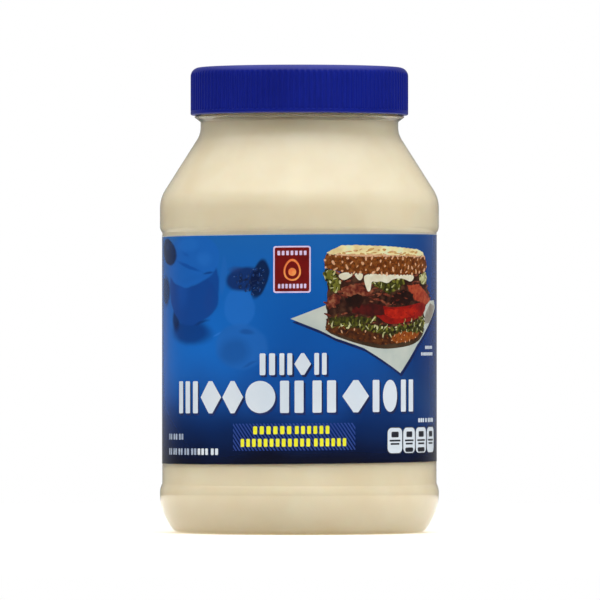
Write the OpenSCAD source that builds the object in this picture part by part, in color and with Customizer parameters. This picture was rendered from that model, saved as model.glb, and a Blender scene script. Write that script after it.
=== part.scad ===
// A shut 30 fl oz (887 mL) mayonnaise jar: a clear blown jar with a recessed label panel,
// the mayonnaise that fills it, a wrap label and a ribbed screw cap.
// The origin is the middle of the base on the table, +Z is up and -Y is the label's front.

/* [Jar body] */
// Diameter at the two bumper bands, which are the widest part
body_d = 94.8; // [79:0.2:114]
// Height of the mouth's rim above the table
rim_h = 156.6; // [131:0.2:189]
// Thickness of the blown wall
wall = 0.7; // [0.4:0.05:1.2]

/* [Base] */
// Height of the lower bumper's widest point
heel_h = 13.5; // [11:0.25:16.25]
// Radius of the heel's long curve below that point
heel_r = 20; // [16.5:0.25:26]
// Radius of the foot's short curve into the table
foot_r = 4; // [2:0.25:6]
// Width of the flat ring that the jar stands on
ring_w = 4; // [2:0.25:8]
// Height of the domed push-up inside that ring
pushup_h = 4; // [1:0.25:8]

/* [Label panel] */
// How far the panel lies in from the bumper bands
panel_depth = 0.8; // [0.4:0.05:1.6]
// Radius of the lower bumper's roll into the panel
lower_roll_r = 6.8; // [4:0.2:10]
// Radius of the upper bumper's roll into the panel
upper_roll_r = 3.2; // [2.4:0.2:6]

/* [Shoulder] */
// Height of the upper bumper, from its roll to the shoulder's corner
band_h = 9.6; // [6:0.2:16]
// Height of the shoulder's cone, from corner to corner
shoulder_h = 21.8; // [16:0.2:30]
// Radius that rounds the corner above the bumper
shoulder_low_r = 11.6; // [6:0.2:14]
// Radius that rounds the corner below the neck
shoulder_top_r = 7.7; // [4:0.2:9.5]

/* [Neck] */
// Outer diameter of the neck and of the mouth above it
neck_d = 67.2; // [56:0.2:80.8]
// Height of the plain neck, from the shoulder's corner to the bead
neck_h = 4.1; // [3:0.1:8]
// How far the transfer bead stands out from the neck
bead_out = 2; // [1:0.1:3]
// Height of the bead, its sloping underside included
bead_h = 1.9; // [1.2:0.1:3]
// Height of the bead's upright edge
bead_edge_h = 0.4; // [0.2:0.1:1]
// Height of the mouth, from the bead to the rim
finish_h = 15.2; // [12:0.2:20]
// Thickness of the neck's and the mouth's wall
finish_wall = 1.6; // [1:0.1:2.4]
// Radius that rounds the rim's two edges
rim_r = 0.4; // [0.2:0.05:0.5]

/* [Filling] */
// Free height between the mayonnaise and the rim
headspace = 0; // [0:0.5:12]

/* [Label] */
// Thickness of the label's film
label_t = 0.1; // [0.05:0.01:0.3]
// Bare panel above the label
label_top_gap = 0.9; // [0.8:0.1:6]
// Bare panel below the label
label_low_gap = 7.2; // [0.8:0.1:12]
// How far the label runs out of true, in degrees
label_skew = 0.47; // [0:0.01:0.6]

/* [Cap] */
// Thickness of the cap's top
cap_top_t = 1.4; // [0.8:0.1:2.4]
// Thickness of the cap's skirt between two ribs
cap_wall = 1.1; // [0.8:0.05:2]
// Radial space between the neck and the skirt, where the screw threads run
thread_gap = 2; // [1.2:0.1:3]
// Free height between the skirt and the bead
cap_gap = 0.4; // [0.2:0.1:1.5]
// Radius of the cap's rounded top edge
cap_edge_r = 3; // [1.5:0.1:4]
// Height of the plain band round the skirt's foot
cap_band_h = 1.4; // [0.8:0.1:3]
// Radius that rounds the band's lower edge
cap_lip_r = 0.5; // [0.2:0.05:0.7]
// Number of ribs round the skirt
rib_count = 120; // [60:2:160]
// How far a rib stands out of the skirt
rib_depth = 0.3; // [0.1:0.05:0.6]
// Width of a rib at its tip, as a share of the rib spacing
rib_tip_share = 0.3; // [0.15:0.05:0.5]
// Width of a rib at its root, as a share of the rib spacing
rib_root_share = 0.6; // [0.55:0.05:0.9]

/* [Hidden] */
$fn = 180;
arc_steps = 10;
overlap = 0.05;

body_r = body_d / 2;
panel_r = body_r - panel_depth;
neck_r = neck_d / 2;
mouth_r = neck_r - finish_wall;
bead_r = neck_r + bead_out;

bead_top_z = rim_h - finish_h;
bead_low_z = bead_top_z - bead_h;
shoulder_top_z = bead_low_z - neck_h;
shoulder_low_z = shoulder_top_z - shoulder_h;
band_z = shoulder_low_z - band_h;
panel_top_z = band_z - upper_roll_r * sin(roll_angle(upper_roll_r));
panel_low_z = heel_h + lower_roll_r * sin(roll_angle(lower_roll_r));
label_low_z = panel_low_z + label_low_gap;
label_top_z = panel_top_z - label_top_gap;

heel_c = [body_r - heel_r, heel_h];
foot_c = [heel_c.x + sqrt(pow(heel_r - foot_r, 2) - pow(heel_h - foot_r, 2)), foot_r];
heel_end = atan2(foot_c.y - heel_c.y, foot_c.x - heel_c.x);
ring_in_r = foot_c.x - ring_w;
dome_r = (pow(ring_in_r, 2) + pow(pushup_h, 2)) / (2 * pushup_h);
dome_c = [0, pushup_h - dome_r];

cap_in_r = neck_r + thread_gap;
cap_r = cap_in_r + cap_wall;
cap_tip_r = cap_r + rib_depth;
cap_low_z = bead_top_z + cap_gap;
cap_top_z = rim_h + cap_top_t;
cap_band_z = cap_low_z + cap_band_h;

// How far round its roll of radius r a bumper runs before it meets the panel.
function roll_angle(r) = acos(1 - panel_depth / r);

// The points of an arc about c, from one angle to another.
function arc(c, r, from, to) =
    [for (i = [0:arc_steps]) let (a = from + (to - from) * i / arc_steps) c + r * [cos(a), sin(a)]];

function reversed(points) = [for (i = [len(points) - 1:-1:0]) points[i]];
function unit(v) = v / norm(v);
function angle_of(v) = atan2(v.y, v.x);
function nearest_turn(a) = a > 180 ? a - 360 : (a < -180 ? a + 360 : a);

// The corner q of the path p, q, s, rounded to the radius r.
function rounded(p, q, s, r) =
    let (
        u = unit(p - q),
        v = unit(s - q),
        half = acos(u * v) / 2,
        c = q + unit(u + v) * r / sin(half),
        from = angle_of(q + u * r / tan(half) - c),
        to = angle_of(q + v * r / tan(half) - c)
    )
    arc(c, r, from, from + nearest_turn(to - from));

// The base's dome from the axis to its ring, as seen in section, raised by the wall's thickness t.
function dome(t) = arc(dome_c, dome_r + t, 90, asin((t - dome_c.y) / (dome_r + t)));

// The side from the foot to the neck, in by t in the body and by neck_t in the neck.
function side(t, neck_t) =
    let (
        lean = atan2(body_r - neck_r, shoulder_h),
        low = [body_r - t, shoulder_low_z - t * tan(lean / 2)],
        top = [neck_r - neck_t, shoulder_top_z - neck_t * tan(lean / 2)]
    )
    concat(
        arc(foot_c, foot_r - t, -90, heel_end),
        arc(heel_c, heel_r - t, heel_end, 0),
        arc([body_r - lower_roll_r, heel_h], lower_roll_r - t, 0, roll_angle(lower_roll_r - t)),
        arc([body_r - upper_roll_r, band_z], upper_roll_r - t, -roll_angle(upper_roll_r - t), 0),
        rounded([low.x, band_z], low, top, shoulder_low_r - t),
        rounded(low, top, [top.x, rim_h], shoulder_top_r + neck_t)
    );

// The bead under the cap and the mouth's outside, up to the rim.
function finish() = concat(
    [
        [neck_r, bead_low_z],
        [bead_r, bead_top_z - bead_edge_h],
        [bead_r, bead_top_z],
        [neck_r, bead_top_z]
    ],
    arc([neck_r - rim_r, rim_h - rim_r], rim_r, 0, 90),
    arc([mouth_r + rim_r, rim_h - rim_r], rim_r, 90, 180)
);

// The cap's outside in section, from its top's middle to its foot's middle.
function cap_skin() = concat(
    [[0, cap_top_z]],
    arc([cap_tip_r - cap_edge_r, cap_top_z - cap_edge_r], cap_edge_r, 90, 0),
    arc([cap_tip_r - cap_lip_r, cap_low_z + cap_lip_r], cap_lip_r, 0, -90),
    [[0, cap_low_z]]
);

// The skirt's outline with its ribs, each a trapezium that stands just proud of the skin.
function rib_ring() = [
    for (i = [0:rib_count - 1])
    for (corner = [
        [-rib_root_share, cap_r],
        [-rib_tip_share, cap_tip_r + overlap],
        [rib_tip_share, cap_tip_r + overlap],
        [rib_root_share, cap_r]
    ])
    let (a = (i + corner.x / 2) * 360 / rib_count)
    corner.y * [cos(a), sin(a)]
];

module jar() {
    color("lightcyan", 0.4)
    rotate_extrude()
    polygon(concat(dome(0), side(0, 0), finish(), reversed(side(wall, finish_wall)), reversed(dome(wall))));
}

module mayonnaise() {
    color("cornsilk")
    intersection() {
        rotate_extrude()
        polygon(concat(dome(wall), side(wall, finish_wall), [[mouth_r, rim_h], [0, rim_h]]));
        cylinder(r = body_r, h = rim_h - headspace);
    }
}

module label() {
    color("royalblue")
    intersection() {
        rotate_extrude()
        translate([panel_r, panel_low_z])
        square([label_t, panel_top_z - panel_low_z]);
        translate([0, 0, (label_low_z + label_top_z) / 2])
        rotate([0, -label_skew, 0])
        cube([2 * body_d, 2 * body_d, label_top_z - label_low_z], center = true);
    }
}

module cap() {
    color("mediumblue")
    difference() {
        intersection() {
            rotate_extrude()
            polygon(cap_skin());
            cap_blank();
        }
        translate([0, 0, cap_low_z - overlap])
        cylinder(r = cap_in_r, h = rim_h - cap_low_z + overlap);
    }
}

// The plain band and the ribbed skirt above it, whose ribs fade out in the rounded top edge.
module cap_blank() {
    translate([0, 0, cap_low_z - overlap])
    cylinder(r = cap_tip_r + 2 * overlap, h = cap_band_h + overlap);
    translate([0, 0, cap_band_z])
    linear_extrude(height = cap_top_z - cap_band_z + overlap)
    polygon(rib_ring());
}

jar();
mayonnaise();
label();
cap();
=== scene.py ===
"""A shut jar of mayonnaise with a wrap label and a ribbed screw cap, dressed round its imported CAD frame.

Sizes are in millimetres, angles in degrees. The origin is the middle of the base and -Y is the label's
front. On the label, u runs to the right from the front's middle and v runs up from the label's foot.
"""

import logging
import math
import random
from collections.abc import Sequence
from dataclasses import dataclass, field
from enum import Enum
from functools import cached_property

import bmesh
import bpy
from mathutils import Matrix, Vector


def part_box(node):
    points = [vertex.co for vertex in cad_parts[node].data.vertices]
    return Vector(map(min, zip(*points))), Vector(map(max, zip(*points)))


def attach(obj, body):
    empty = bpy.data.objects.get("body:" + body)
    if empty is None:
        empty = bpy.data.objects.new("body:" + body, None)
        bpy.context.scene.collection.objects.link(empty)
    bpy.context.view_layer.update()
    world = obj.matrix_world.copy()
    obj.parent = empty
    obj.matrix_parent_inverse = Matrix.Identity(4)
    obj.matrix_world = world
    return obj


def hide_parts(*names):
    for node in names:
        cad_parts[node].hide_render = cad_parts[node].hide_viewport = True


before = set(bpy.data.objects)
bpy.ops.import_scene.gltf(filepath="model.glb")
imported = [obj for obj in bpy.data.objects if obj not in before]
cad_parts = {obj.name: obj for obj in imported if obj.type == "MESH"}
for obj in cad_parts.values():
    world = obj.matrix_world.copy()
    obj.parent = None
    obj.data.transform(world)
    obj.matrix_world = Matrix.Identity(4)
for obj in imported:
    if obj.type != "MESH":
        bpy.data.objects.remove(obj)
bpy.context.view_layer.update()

MM = 0.001
LOG = logging.getLogger("mayonnaise_jar")

Point = tuple[float, float]
Outline = Sequence[Point]


# ---------------------------------------------------------------- small helpers


def linear(hex_colour: str) -> tuple[float, float, float, float]:
    """Turns an sRGB hex colour into the linear colour that shaders take.

    Args:
        hex_colour: the colour as "#rrggbb".

    Returns:
        Linear red, green and blue, and an alpha of 1.
    """
    parts = [int(hex_colour[i : i + 2], 16) / 255 for i in (1, 3, 5)]
    red, green, blue = [p / 12.92 if p <= 0.04045 else ((p + 0.055) / 1.055) ** 2.4 for p in parts]
    return red, green, blue, 1.0


def add_node(
    tree: bpy.types.NodeTree, kind: str, links: dict | None = None, **settings: object
) -> bpy.types.Node:
    """Adds a node with its settings and what its inputs take.

    Args:
        tree: the node tree that the node goes into.
        kind: the node's type name.
        links: for each input's name or number, its value, or the socket or node that feeds it. A node
            gives its first output.
        settings: the node's own properties.

    Returns:
        The new node.
    """
    node = tree.nodes.new(kind)
    for name, value in settings.items():
        setattr(node, name, value)
    for key, value in (links or {}).items():
        if isinstance(value, bpy.types.Node):
            value = value.outputs[0]
        if isinstance(value, bpy.types.NodeSocket):
            tree.links.new(value, node.inputs[key])
        else:
            node.inputs[key].default_value = value
    return node


def geometry_tree(name: str, inputs: dict[str, str]) -> tuple[bpy.types.NodeTree, bpy.types.Node]:
    """Starts a Geometry Nodes tree.

    Args:
        name: the tree's name.
        inputs: for each named input after the geometry, its kind, such as Float, Int or Material.

    Returns:
        The tree and its group input node.
    """
    tree = bpy.data.node_groups.new(name, "GeometryNodeTree")
    tree.interface.new_socket(name="Geometry", in_out="INPUT", socket_type="NodeSocketGeometry")
    for label, kind in inputs.items():
        tree.interface.new_socket(name=label, in_out="INPUT", socket_type="NodeSocket" + kind)
    tree.interface.new_socket(name="Geometry", in_out="OUTPUT", socket_type="NodeSocketGeometry")
    return tree, add_node(tree, "NodeGroupInput")


def end_tree(
    tree: bpy.types.NodeTree,
    shape: bpy.types.NodeSocket,
    material: bpy.types.NodeSocket,
    crease: float = 35,
) -> None:
    """Ends a tree: smooth faces with sharp creases, realised instances and the material.

    Args:
        tree: the tree to end.
        shape: the geometry made so far.
        material: the material to set.
        crease: the angle past which an edge stays sharp.
    """
    real = add_node(tree, "GeometryNodeRealizeInstances", {0: shape})
    smooth = add_node(
        tree, "GeometryNodeSetShadeSmooth", {"Geometry": real, "Shade Smooth": True}, domain="FACE"
    )
    angle = add_node(tree, "GeometryNodeInputMeshEdgeAngle")
    sharp = add_node(
        tree, "FunctionNodeCompare", {0: angle, 1: math.radians(crease)}, operation="GREATER_THAN"
    )
    creased = add_node(
        tree,
        "GeometryNodeSetShadeSmooth",
        {"Geometry": smooth, "Selection": sharp, "Shade Smooth": False},
        domain="EDGE",
    )
    dressed = add_node(tree, "GeometryNodeSetMaterial", {"Geometry": creased, "Material": material})
    add_node(tree, "NodeGroupOutput", {0: dressed})


def grow(name: str, mesh: bpy.types.Mesh, tree: bpy.types.NodeTree, values: dict) -> bpy.types.Object:
    """Runs a Geometry Nodes tree on a mesh and keeps the result as a plain mesh.

    Args:
        name: the finished piece's name.
        mesh: what the tree starts from.
        tree: the tree to run.
        values: for each named input of the tree, its value.

    Returns:
        The finished object, at the origin and without its modifier.
    """
    piece = bpy.data.objects.new(name, mesh)
    bpy.context.collection.objects.link(piece)
    modifier = piece.modifiers.new("grow", "NODES")
    modifier.node_group = tree
    for item in tree.interface.items_tree:
        if item.in_out == "INPUT" and item.name in values:
            modifier[item.identifier] = values[item.name]
    graph = bpy.context.evaluated_depsgraph_get()
    made = bpy.data.meshes.new_from_object(piece.evaluated_get(graph), depsgraph=graph)
    piece.modifiers.remove(modifier)
    piece.data = made
    made.name = name
    bpy.data.meshes.remove(mesh)
    return piece


def settle(piece: bpy.types.Object, node: str) -> None:
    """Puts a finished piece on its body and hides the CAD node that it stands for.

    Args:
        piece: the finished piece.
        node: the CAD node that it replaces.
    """
    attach(piece, "root")
    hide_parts(node)
    LOG.info("%s: %d faces, stands for %s", piece.name, len(piece.data.polygons), node)


# ---------------------------------------------------------------- outlines


def arc(centre: Point, radius: float, start: float, end: float, steps: int = 10) -> Outline:
    """Gives the points of an arc.

    Args:
        centre: the arc's centre.
        radius: its radius.
        start: the angle that it starts at.
        end: the angle that it ends at.
        steps: how many pieces it has.

    Returns:
        Its points in order.
    """
    turns = [math.radians(start + (end - start) * i / steps) for i in range(steps + 1)]
    return [(centre[0] + radius * math.cos(t), centre[1] + radius * math.sin(t)) for t in turns]


def fillet(before: Point, corner: Point, after: Point, radius: float, steps: int = 10) -> Outline:
    """Rounds one corner of a path.

    Args:
        before: a point on the path before the corner.
        corner: the corner.
        after: a point on the path after it.
        radius: the radius to round it to.
        steps: how many pieces the arc has.

    Returns:
        The arc's points in order.
    """
    q = Vector(corner)
    u = (Vector(before) - q).normalized()
    v = (Vector(after) - q).normalized()
    half = math.acos(u.dot(v)) / 2
    c = q + (u + v).normalized() * radius / math.sin(half)
    first = q + u * radius / math.tan(half) - c
    last = q + v * radius / math.tan(half) - c
    start = math.degrees(math.atan2(first.y, first.x))
    turn = (math.degrees(math.atan2(last.y, last.x)) - start + 180) % 360 - 180
    return arc((c.x, c.y), radius, start, start + turn, steps)


def rounded_box(low: Point, high: Point, radius: float = 0.0) -> Outline:
    """Gives a box's outline with rounded corners.

    Args:
        low: the lower left corner.
        high: the upper right corner.
        radius: the corners' radius.

    Returns:
        The outline.
    """
    (u0, v0), (u1, v1) = low, high
    if radius <= 0:
        return [(u0, v0), (u1, v0), (u1, v1), (u0, v1)]
    r = min(radius, (u1 - u0) / 2.01, (v1 - v0) / 2.01)
    return [
        *arc((u1 - r, v0 + r), r, -90, 0, 4),
        *arc((u1 - r, v1 - r), r, 0, 90, 4),
        *arc((u0 + r, v1 - r), r, 90, 180, 4),
        *arc((u0 + r, v0 + r), r, 180, 270, 4),
    ]


def oval(centre: Point, half: Point, steps: int = 28, taper: float = 0.0) -> Outline:
    """Gives an oval's outline.

    Args:
        centre: its centre.
        half: half its width and half its height.
        steps: how many points it has.
        taper: how much narrower its top is than its foot, as an egg's is.

    Returns:
        The outline.
    """
    turns = [2 * math.pi * i / steps for i in range(steps)]
    return [
        (centre[0] + half[0] * math.cos(t) * (1 - taper * math.sin(t)), centre[1] + half[1] * math.sin(t))
        for t in turns
    ]


def softened(points: Outline, rounds: int = 2) -> Outline:
    """Rounds an outline by cutting its corners.

    Args:
        points: the outline's corners.
        rounds: how many times its corners are cut.

    Returns:
        The rounder outline.
    """
    for _ in range(rounds):
        cut: list[Point] = []
        for (ax, ay), (bx, by) in zip(points, [*points[1:], points[0]]):
            cut.append((ax * 0.75 + bx * 0.25, ay * 0.75 + by * 0.25))
            cut.append((ax * 0.25 + bx * 0.75, ay * 0.25 + by * 0.75))
        points = cut
    return points


def frilled(points: Outline, pitch: float, depth: float, seed: int) -> Outline:
    """Gives an outline an uneven edge, as a leaf's frill or a torn crust has.

    Args:
        points: the outline's corners.
        pitch: the mean length of one wave.
        depth: how far a wave stands out at most.
        seed: what makes this edge differ from others.

    Returns:
        The frilled outline.
    """
    dice = random.Random(seed)
    edge: list[Point] = []
    for (ax, ay), (bx, by) in zip(points, [*points[1:], points[0]]):
        length = math.hypot(bx - ax, by - ay)
        count = max(1, round(length / pitch * 2))
        for i in range(count):
            out = depth * dice.uniform(0.15, 1.0) * (1 if i % 2 else -0.6)
            t = (i + dice.uniform(-0.2, 0.2)) / count
            x = ax + (bx - ax) * t + (by - ay) / length * out
            y = ay + (by - ay) * t - (bx - ax) / length * out
            edge.append((x, y))
    return softened(edge, 1)


def signed_area(points: Outline) -> float:
    """Gives an outline's area, which is negative if it runs clockwise."""
    return sum(ax * by - bx * ay for (ax, ay), (bx, by) in zip(points, [*points[1:], points[0]])) / 2


# ---------------------------------------------------------------- finishes


@dataclass(frozen=True)
class Finish:
    """What every finish starts from: a material of its own name with one Principled shader."""

    name: str

    def start(self) -> tuple[bpy.types.Material, bpy.types.NodeTree, bpy.types.Node, bpy.types.NodeSocket]:
        """Starts the material.

        Returns:
            The material, its tree, its shader and the piece's own coordinates in metres.
        """
        material = bpy.data.materials.new(self.name)
        material.use_nodes = True
        tree = material.node_tree
        place = add_node(tree, "ShaderNodeTexCoord").outputs["Object"]
        return material, tree, tree.nodes["Principled BSDF"], place

    def mottle(
        self,
        tree: bpy.types.NodeTree,
        place: bpy.types.NodeSocket,
        grain: float,
        colours: tuple[str, ...],
        spread: float = 0.16,
    ) -> bpy.types.NodeSocket:
        """Varies a colour in soft patches.

        Args:
            tree: the material's tree.
            place: the coordinates that the patches follow.
            grain: the patches' size.
            colours: the hex colours, from the darkest to the lightest.
            spread: how far the noise strays from its middle before the end colours are reached.

        Returns:
            The colour.
        """
        noise = add_node(
            tree, "ShaderNodeTexNoise", {"Vector": place, "Scale": 1 / (grain * MM), "Detail": 3.0}
        )
        ramp = add_node(tree, "ShaderNodeValToRGB", {"Fac": noise.outputs["Fac"]})
        stops = ramp.color_ramp.elements
        while len(stops) < len(colours):
            stops.new(0.5)
        for i, colour in enumerate(colours):
            stops[i].position = 0.5 - spread + 2 * spread * i / (len(colours) - 1)
            stops[i].color = linear(colour)
        return ramp.outputs["Color"]


@dataclass(frozen=True)
class BlownPolyester(Finish):
    """Clear PET, stretch-blown in a two-part mould: thin, glossy, faintly waved, with two parting lines."""

    tint: str = "#f4f8f6"
    roughness: float = 0.035
    ior: float = 1.575
    wave: float = 16.0
    wave_depth: float = 0.02
    parting_width: float = 0.16
    parting_height: float = 0.05
    shadow_tint: str = "#fafbfa"

    def material(self) -> bpy.types.Material:
        """Makes the material. Light from the lamps passes straight through the wall to the filling.

        Returns:
            The material.
        """
        material, tree, shader, place = self.start()
        shader.inputs["Base Color"].default_value = linear(self.tint)
        shader.inputs["Roughness"].default_value = self.roughness
        shader.inputs["IOR"].default_value = self.ior
        shader.inputs["Transmission Weight"].default_value = 1.0
        wave = add_node(
            tree, "ShaderNodeTexNoise", {"Vector": place, "Scale": 1 / (self.wave * MM), "Detail": 1.0}
        )
        across = add_node(tree, "ShaderNodeSeparateXYZ", {0: place}).outputs["Y"]
        off = add_node(tree, "ShaderNodeMath", {0: across}, operation="ABSOLUTE").outputs[0]
        parting = add_node(
            tree,
            "ShaderNodeMapRange",
            {
                "Value": off,
                "From Min": 0.0,
                "From Max": self.parting_width * MM,
                "To Min": 1.0,
                "To Max": 0.0,
            },
            interpolation_type="SMOOTHSTEP",
        )
        soft = add_node(
            tree, "ShaderNodeBump", {"Height": wave.outputs["Fac"], "Distance": self.wave_depth * MM}
        )
        lined = add_node(
            tree, "ShaderNodeBump", {"Height": parting, "Distance": self.parting_height * MM, "Normal": soft}
        )
        tree.links.new(lined.outputs[0], shader.inputs["Normal"])
        path = add_node(tree, "ShaderNodeLightPath")
        clear = add_node(tree, "ShaderNodeBsdfTransparent", {"Color": linear(self.shadow_tint)})
        both = add_node(tree, "ShaderNodeMixShader", {0: path.outputs["Is Shadow Ray"], 1: shader, 2: clear})
        tree.links.new(both.outputs[0], tree.nodes["Material Output"].inputs["Surface"])
        return material


@dataclass(frozen=True)
class WhippedEmulsion(Finish):
    """Mayonnaise, a whipped egg emulsion pressed against the wall: pale cream, soft, with small bubbles."""

    low: str = "#efdfc0"
    high: str = "#f5e8cd"
    patch: float = 14.0
    bubble: float = 0.7
    bubble_depth: float = 0.03
    roughness: float = 0.45
    sheen: float = 0.15
    depth: float = 3.0
    depth_share: float = 0.35

    def material(self) -> bpy.types.Material:
        """Makes the material. Light goes a few millimetres into the oil and water, which softens its shade.

        Returns:
            The material.
        """
        material, tree, shader, place = self.start()
        colour = self.mottle(tree, place, self.patch, (self.low, self.high), 0.2)
        cells = add_node(
            tree, "ShaderNodeTexVoronoi", {"Vector": place, "Scale": 1 / (self.bubble * MM)}, feature="F1"
        )
        spot = add_node(
            tree,
            "ShaderNodeMapRange",
            {
                "Value": cells.outputs["Distance"],
                "From Min": 0.0,
                "From Max": 0.35,
                "To Min": 0.0,
                "To Max": 1.0,
            },
        )
        bump = add_node(
            tree, "ShaderNodeBump", {"Height": spot, "Distance": self.bubble_depth * MM, "Strength": 0.5}
        )
        tree.links.new(colour, shader.inputs["Base Color"])
        tree.links.new(bump.outputs[0], shader.inputs["Normal"])
        shader.inputs["Roughness"].default_value = self.roughness
        shader.inputs["Specular IOR Level"].default_value = self.sheen
        shader.inputs["Subsurface Weight"].default_value = self.depth_share
        shader.inputs["Subsurface Radius"].default_value = (1.0, 0.7, 0.45)
        shader.inputs["Subsurface Scale"].default_value = self.depth * MM
        return material


@dataclass(frozen=True)
class MouldedPolypropylene(Finish):
    """Royal blue polypropylene, injection moulded: satin, its shine broken by a spark-eroded grain."""

    low: str = "#051884"
    high: str = "#081e92"
    grain: float = 0.35
    grain_depth: float = 0.012
    flow: float = 22.0
    roughness: float = 0.36
    ior: float = 1.49

    def material(self) -> bpy.types.Material:
        """Makes the material. The grain is 0.35 mm, coarser than the real 0.05 mm, so that it shows.

        Returns:
            The material.
        """
        material, tree, shader, place = self.start()
        colour = self.mottle(tree, place, self.flow, (self.low, self.high), 0.2)
        grain = add_node(
            tree, "ShaderNodeTexNoise", {"Vector": place, "Scale": 1 / (self.grain * MM), "Detail": 2.0}
        )
        rough = add_node(
            tree,
            "ShaderNodeMapRange",
            {
                "Value": grain.outputs["Fac"],
                "From Min": 0.3,
                "From Max": 0.7,
                "To Min": self.roughness - 0.06,
                "To Max": self.roughness + 0.08,
            },
        )
        bump = add_node(
            tree, "ShaderNodeBump", {"Height": grain.outputs["Fac"], "Distance": self.grain_depth * MM}
        )
        tree.links.new(colour, shader.inputs["Base Color"])
        tree.links.new(rough.outputs[0], shader.inputs["Roughness"])
        tree.links.new(bump.outputs[0], shader.inputs["Normal"])
        shader.inputs["IOR"].default_value = self.ior
        return material


@dataclass(frozen=True)
class SoftSpot:
    """One soft-edged oval of tone in the film's own print."""

    centre: Point
    half: Point
    colour: str
    strength: float = 0.8
    soft: float = 0.35
    turn: float = 0.0

    def over(
        self, tree: bpy.types.NodeTree, flat: bpy.types.NodeSocket, under: bpy.types.NodeSocket
    ) -> bpy.types.NodeSocket:
        """Lays the spot over a colour.

        Args:
            tree: the material's tree.
            flat: the label's u and v in metres.
            under: the colour under the spot.

        Returns:
            The colour with the spot on it.
        """
        local = add_node(
            tree,
            "ShaderNodeMapping",
            {
                "Vector": flat,
                "Location": (self.centre[0] * MM, self.centre[1] * MM, 0),
                "Rotation": (0, 0, math.radians(self.turn)),
                "Scale": (self.half[0] * MM, self.half[1] * MM, 1),
            },
            vector_type="TEXTURE",
        )
        reach = add_node(tree, "ShaderNodeVectorMath", {0: local}, operation="LENGTH")
        share = add_node(
            tree,
            "ShaderNodeMapRange",
            {
                "Value": reach.outputs["Value"],
                "From Min": 1 - self.soft,
                "From Max": 1.0,
                "To Min": self.strength,
                "To Max": 0.0,
            },
            interpolation_type="SMOOTHSTEP",
        )
        mixed = add_node(
            tree, "ShaderNodeMix", {"Factor": share, "A": under, "B": linear(self.colour)}, data_type="RGBA"
        )
        return mixed.outputs["Result"]


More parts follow.
